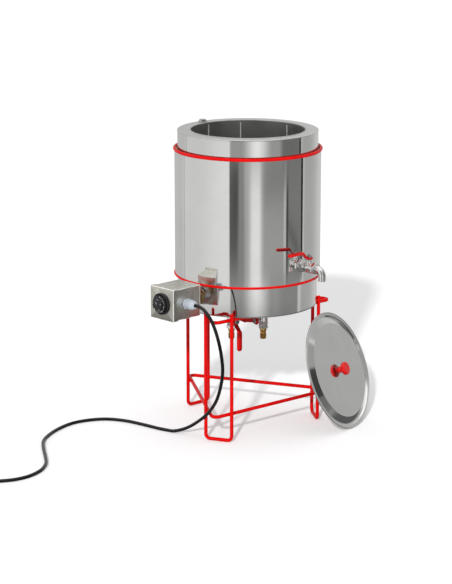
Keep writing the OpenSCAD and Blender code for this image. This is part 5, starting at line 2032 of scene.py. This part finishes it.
@dataclass(frozen=True)
class Lid:
    """The pressed lid that leans on the stand, and its red knob."""

    azimuth: float = -28.6
    lean: float = 20.3
    roll_at: float = 168.4
    roll_r: float = 2.0
    centre: Point = (261.4, -30.6, 159.9)
    thickness: float = 1.2

    def place(self) -> Place:
        """The lid's centre.

        Returns:
            The place, with X down the lid and Z out of its face.
        """
        b = math.radians(90 - self.lean)
        out, over = polar(self.azimuth), polar(self.azimuth + 90)
        face = math.sin(b) * out + np.array([0, 0, math.cos(b)])
        down = math.cos(b) * out - np.array([0, 0, math.sin(b)])
        return Place(self.centre, tuple(down), tuple(over), tuple(face))

    def plate(self) -> None:
        """The plate: a raised panel, a sloping border, a step up to the flange and a rolled edge.

        The front and the back follow the same bent line, half a thickness to each side.
        """
        t, edge = self.thickness / 2, self.roll_at
        line = np.array([[2.7, 5.0], [0.812 * edge, 5.0], [edge - 12.5, -5.0], [edge - 11.5, -5.0],
                         [edge - 7.0, 0.0], [edge - 4, 0.0], [edge - 1.9, 0.0]])
        path = rounded(line, np.array([0, 2.0, 0.4, 0.4, 1.6, 0.8, 0]), 7, False)
        path = path[distinct(path)]
        way = unit(np.gradient(path, axis=0))
        side = np.stack([-way[:, 1], way[:, 0]], axis=1) * t
        front, back = path + side, path - side
        a = np.linspace(math.pi * 0.86, -math.pi * 0.86, 22)
        roll = np.stack([edge + self.roll_r * np.cos(a), self.roll_r * np.sin(a)], axis=1)
        section = np.concatenate([front, roll, back[::-1]])
        made = Skin("lid_plate").turn(section, self.place(), 192).piece(self.finish(), 40)
        settle(made, "lid", "lid_steel", "lid_disc")

    def finish(self) -> Finish:
        """The spun finish, with its rings round the lid's own axis."""
        tilt = (0.0, math.radians(90 - self.lean), math.radians(self.azimuth))
        return replace(SPUN, centre=tuple(np.array(self.centre) * MM), lean=tilt)

    def handle(self) -> None:
        """The knob: a flared foot, a waist and a domed cap with a shallow dish."""
        place = self.place().moved(z=5.6)
        line = np.array([[3.0, 0], [10.4, 0], [9.4, 1.6], [7.4, 4.4], [7.2, 8.5], [10.5, 11.2],
                         [16.5, 12], [19, 14], [19, 20.5], [16.6, 23.4], [8.5, 24], [7.6, 23.4],
                         [0, 23.2]])
        bends = np.array([0, 0.6, 2, 3, 3, 3, 2, 1.6, 2.6, 2.4, 0.8, 0.8, 0])
        path = rounded(line, bends, 5, False)
        path = np.concatenate([[[0.0, 0.3]], path])
        made = Skin("lid_handle").knob(path, place, 72).piece(KNOB, 50)
        settle(made, "lid", "red_plastic", "lid_knob")

    def screw(self) -> None:
        """The knob's screw at the back of the lid: a pan head with a round recess."""
        head = screw_profile(5.5, 3.0, 2.5, 17.2, 1.6, [[1.4, 1.9], [0, 1.8]])
        place = self.place().moved(z=4.4).upended()
        made = Skin("lid_handle_screw").knob(head, place, 32).piece(ZINC)
        settle(made, "lid", "zinc_steel", "lid_knob_screw")

    def build(self) -> None:
        """Makes the whole lid."""
        self.plate()
        self.handle()
        self.screw()


INSIDE = {
    "insulation": WOOL, "tap_ball": CHROME, "wax_drain_ball": CHROME, "water_drain_ball": CHROME,
    "tap_stem": ZINC, "wax_drain_stem": ZINC, "water_drain_stem": ZINC, "heating_element": ELEMENT,
    "sensor_pocket": ZINC, "thermostat": WHITE, "terminal_block": WHITE, "neck_locknut": ZINC,
    "gland_locknut": GREY,
}


def dress_inside() -> None:
    """Gives each CAD node that stays its own finish."""
    for node, finish in INSIDE.items():
        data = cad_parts[node].data
        data.materials.clear()
        data.materials.append(finish.material())
        log.info("%s keeps its CAD shape", node)


def main() -> None:
    """Builds the camera, the cord, and then the object's sub-assemblies in order."""
    logging.basicConfig(level=logging.INFO, format="%(name)s: %(message)s")
    studio = Studio()
    studio.camera()
    box = ControlBox()
    Cord().build(box.gland())
    Stand().build()
    Tank().build()
    Tap().build()
    Drain("wax_drain", x=-45.5, stem_azimuth=-57.0, closed_angle=0.0, pipe_top=479.5,
          body="wax_drain_handle").build()
    Drain("water_drain", x=45.5, stem_azimuth=-146.0, closed_angle=-90.0, pipe_top=357.5,
          body="water_drain_handle").build()
    box.build()
    Lid().build()
    dress_inside()
    studio.light()


if __name__ == "__main__":
    main()
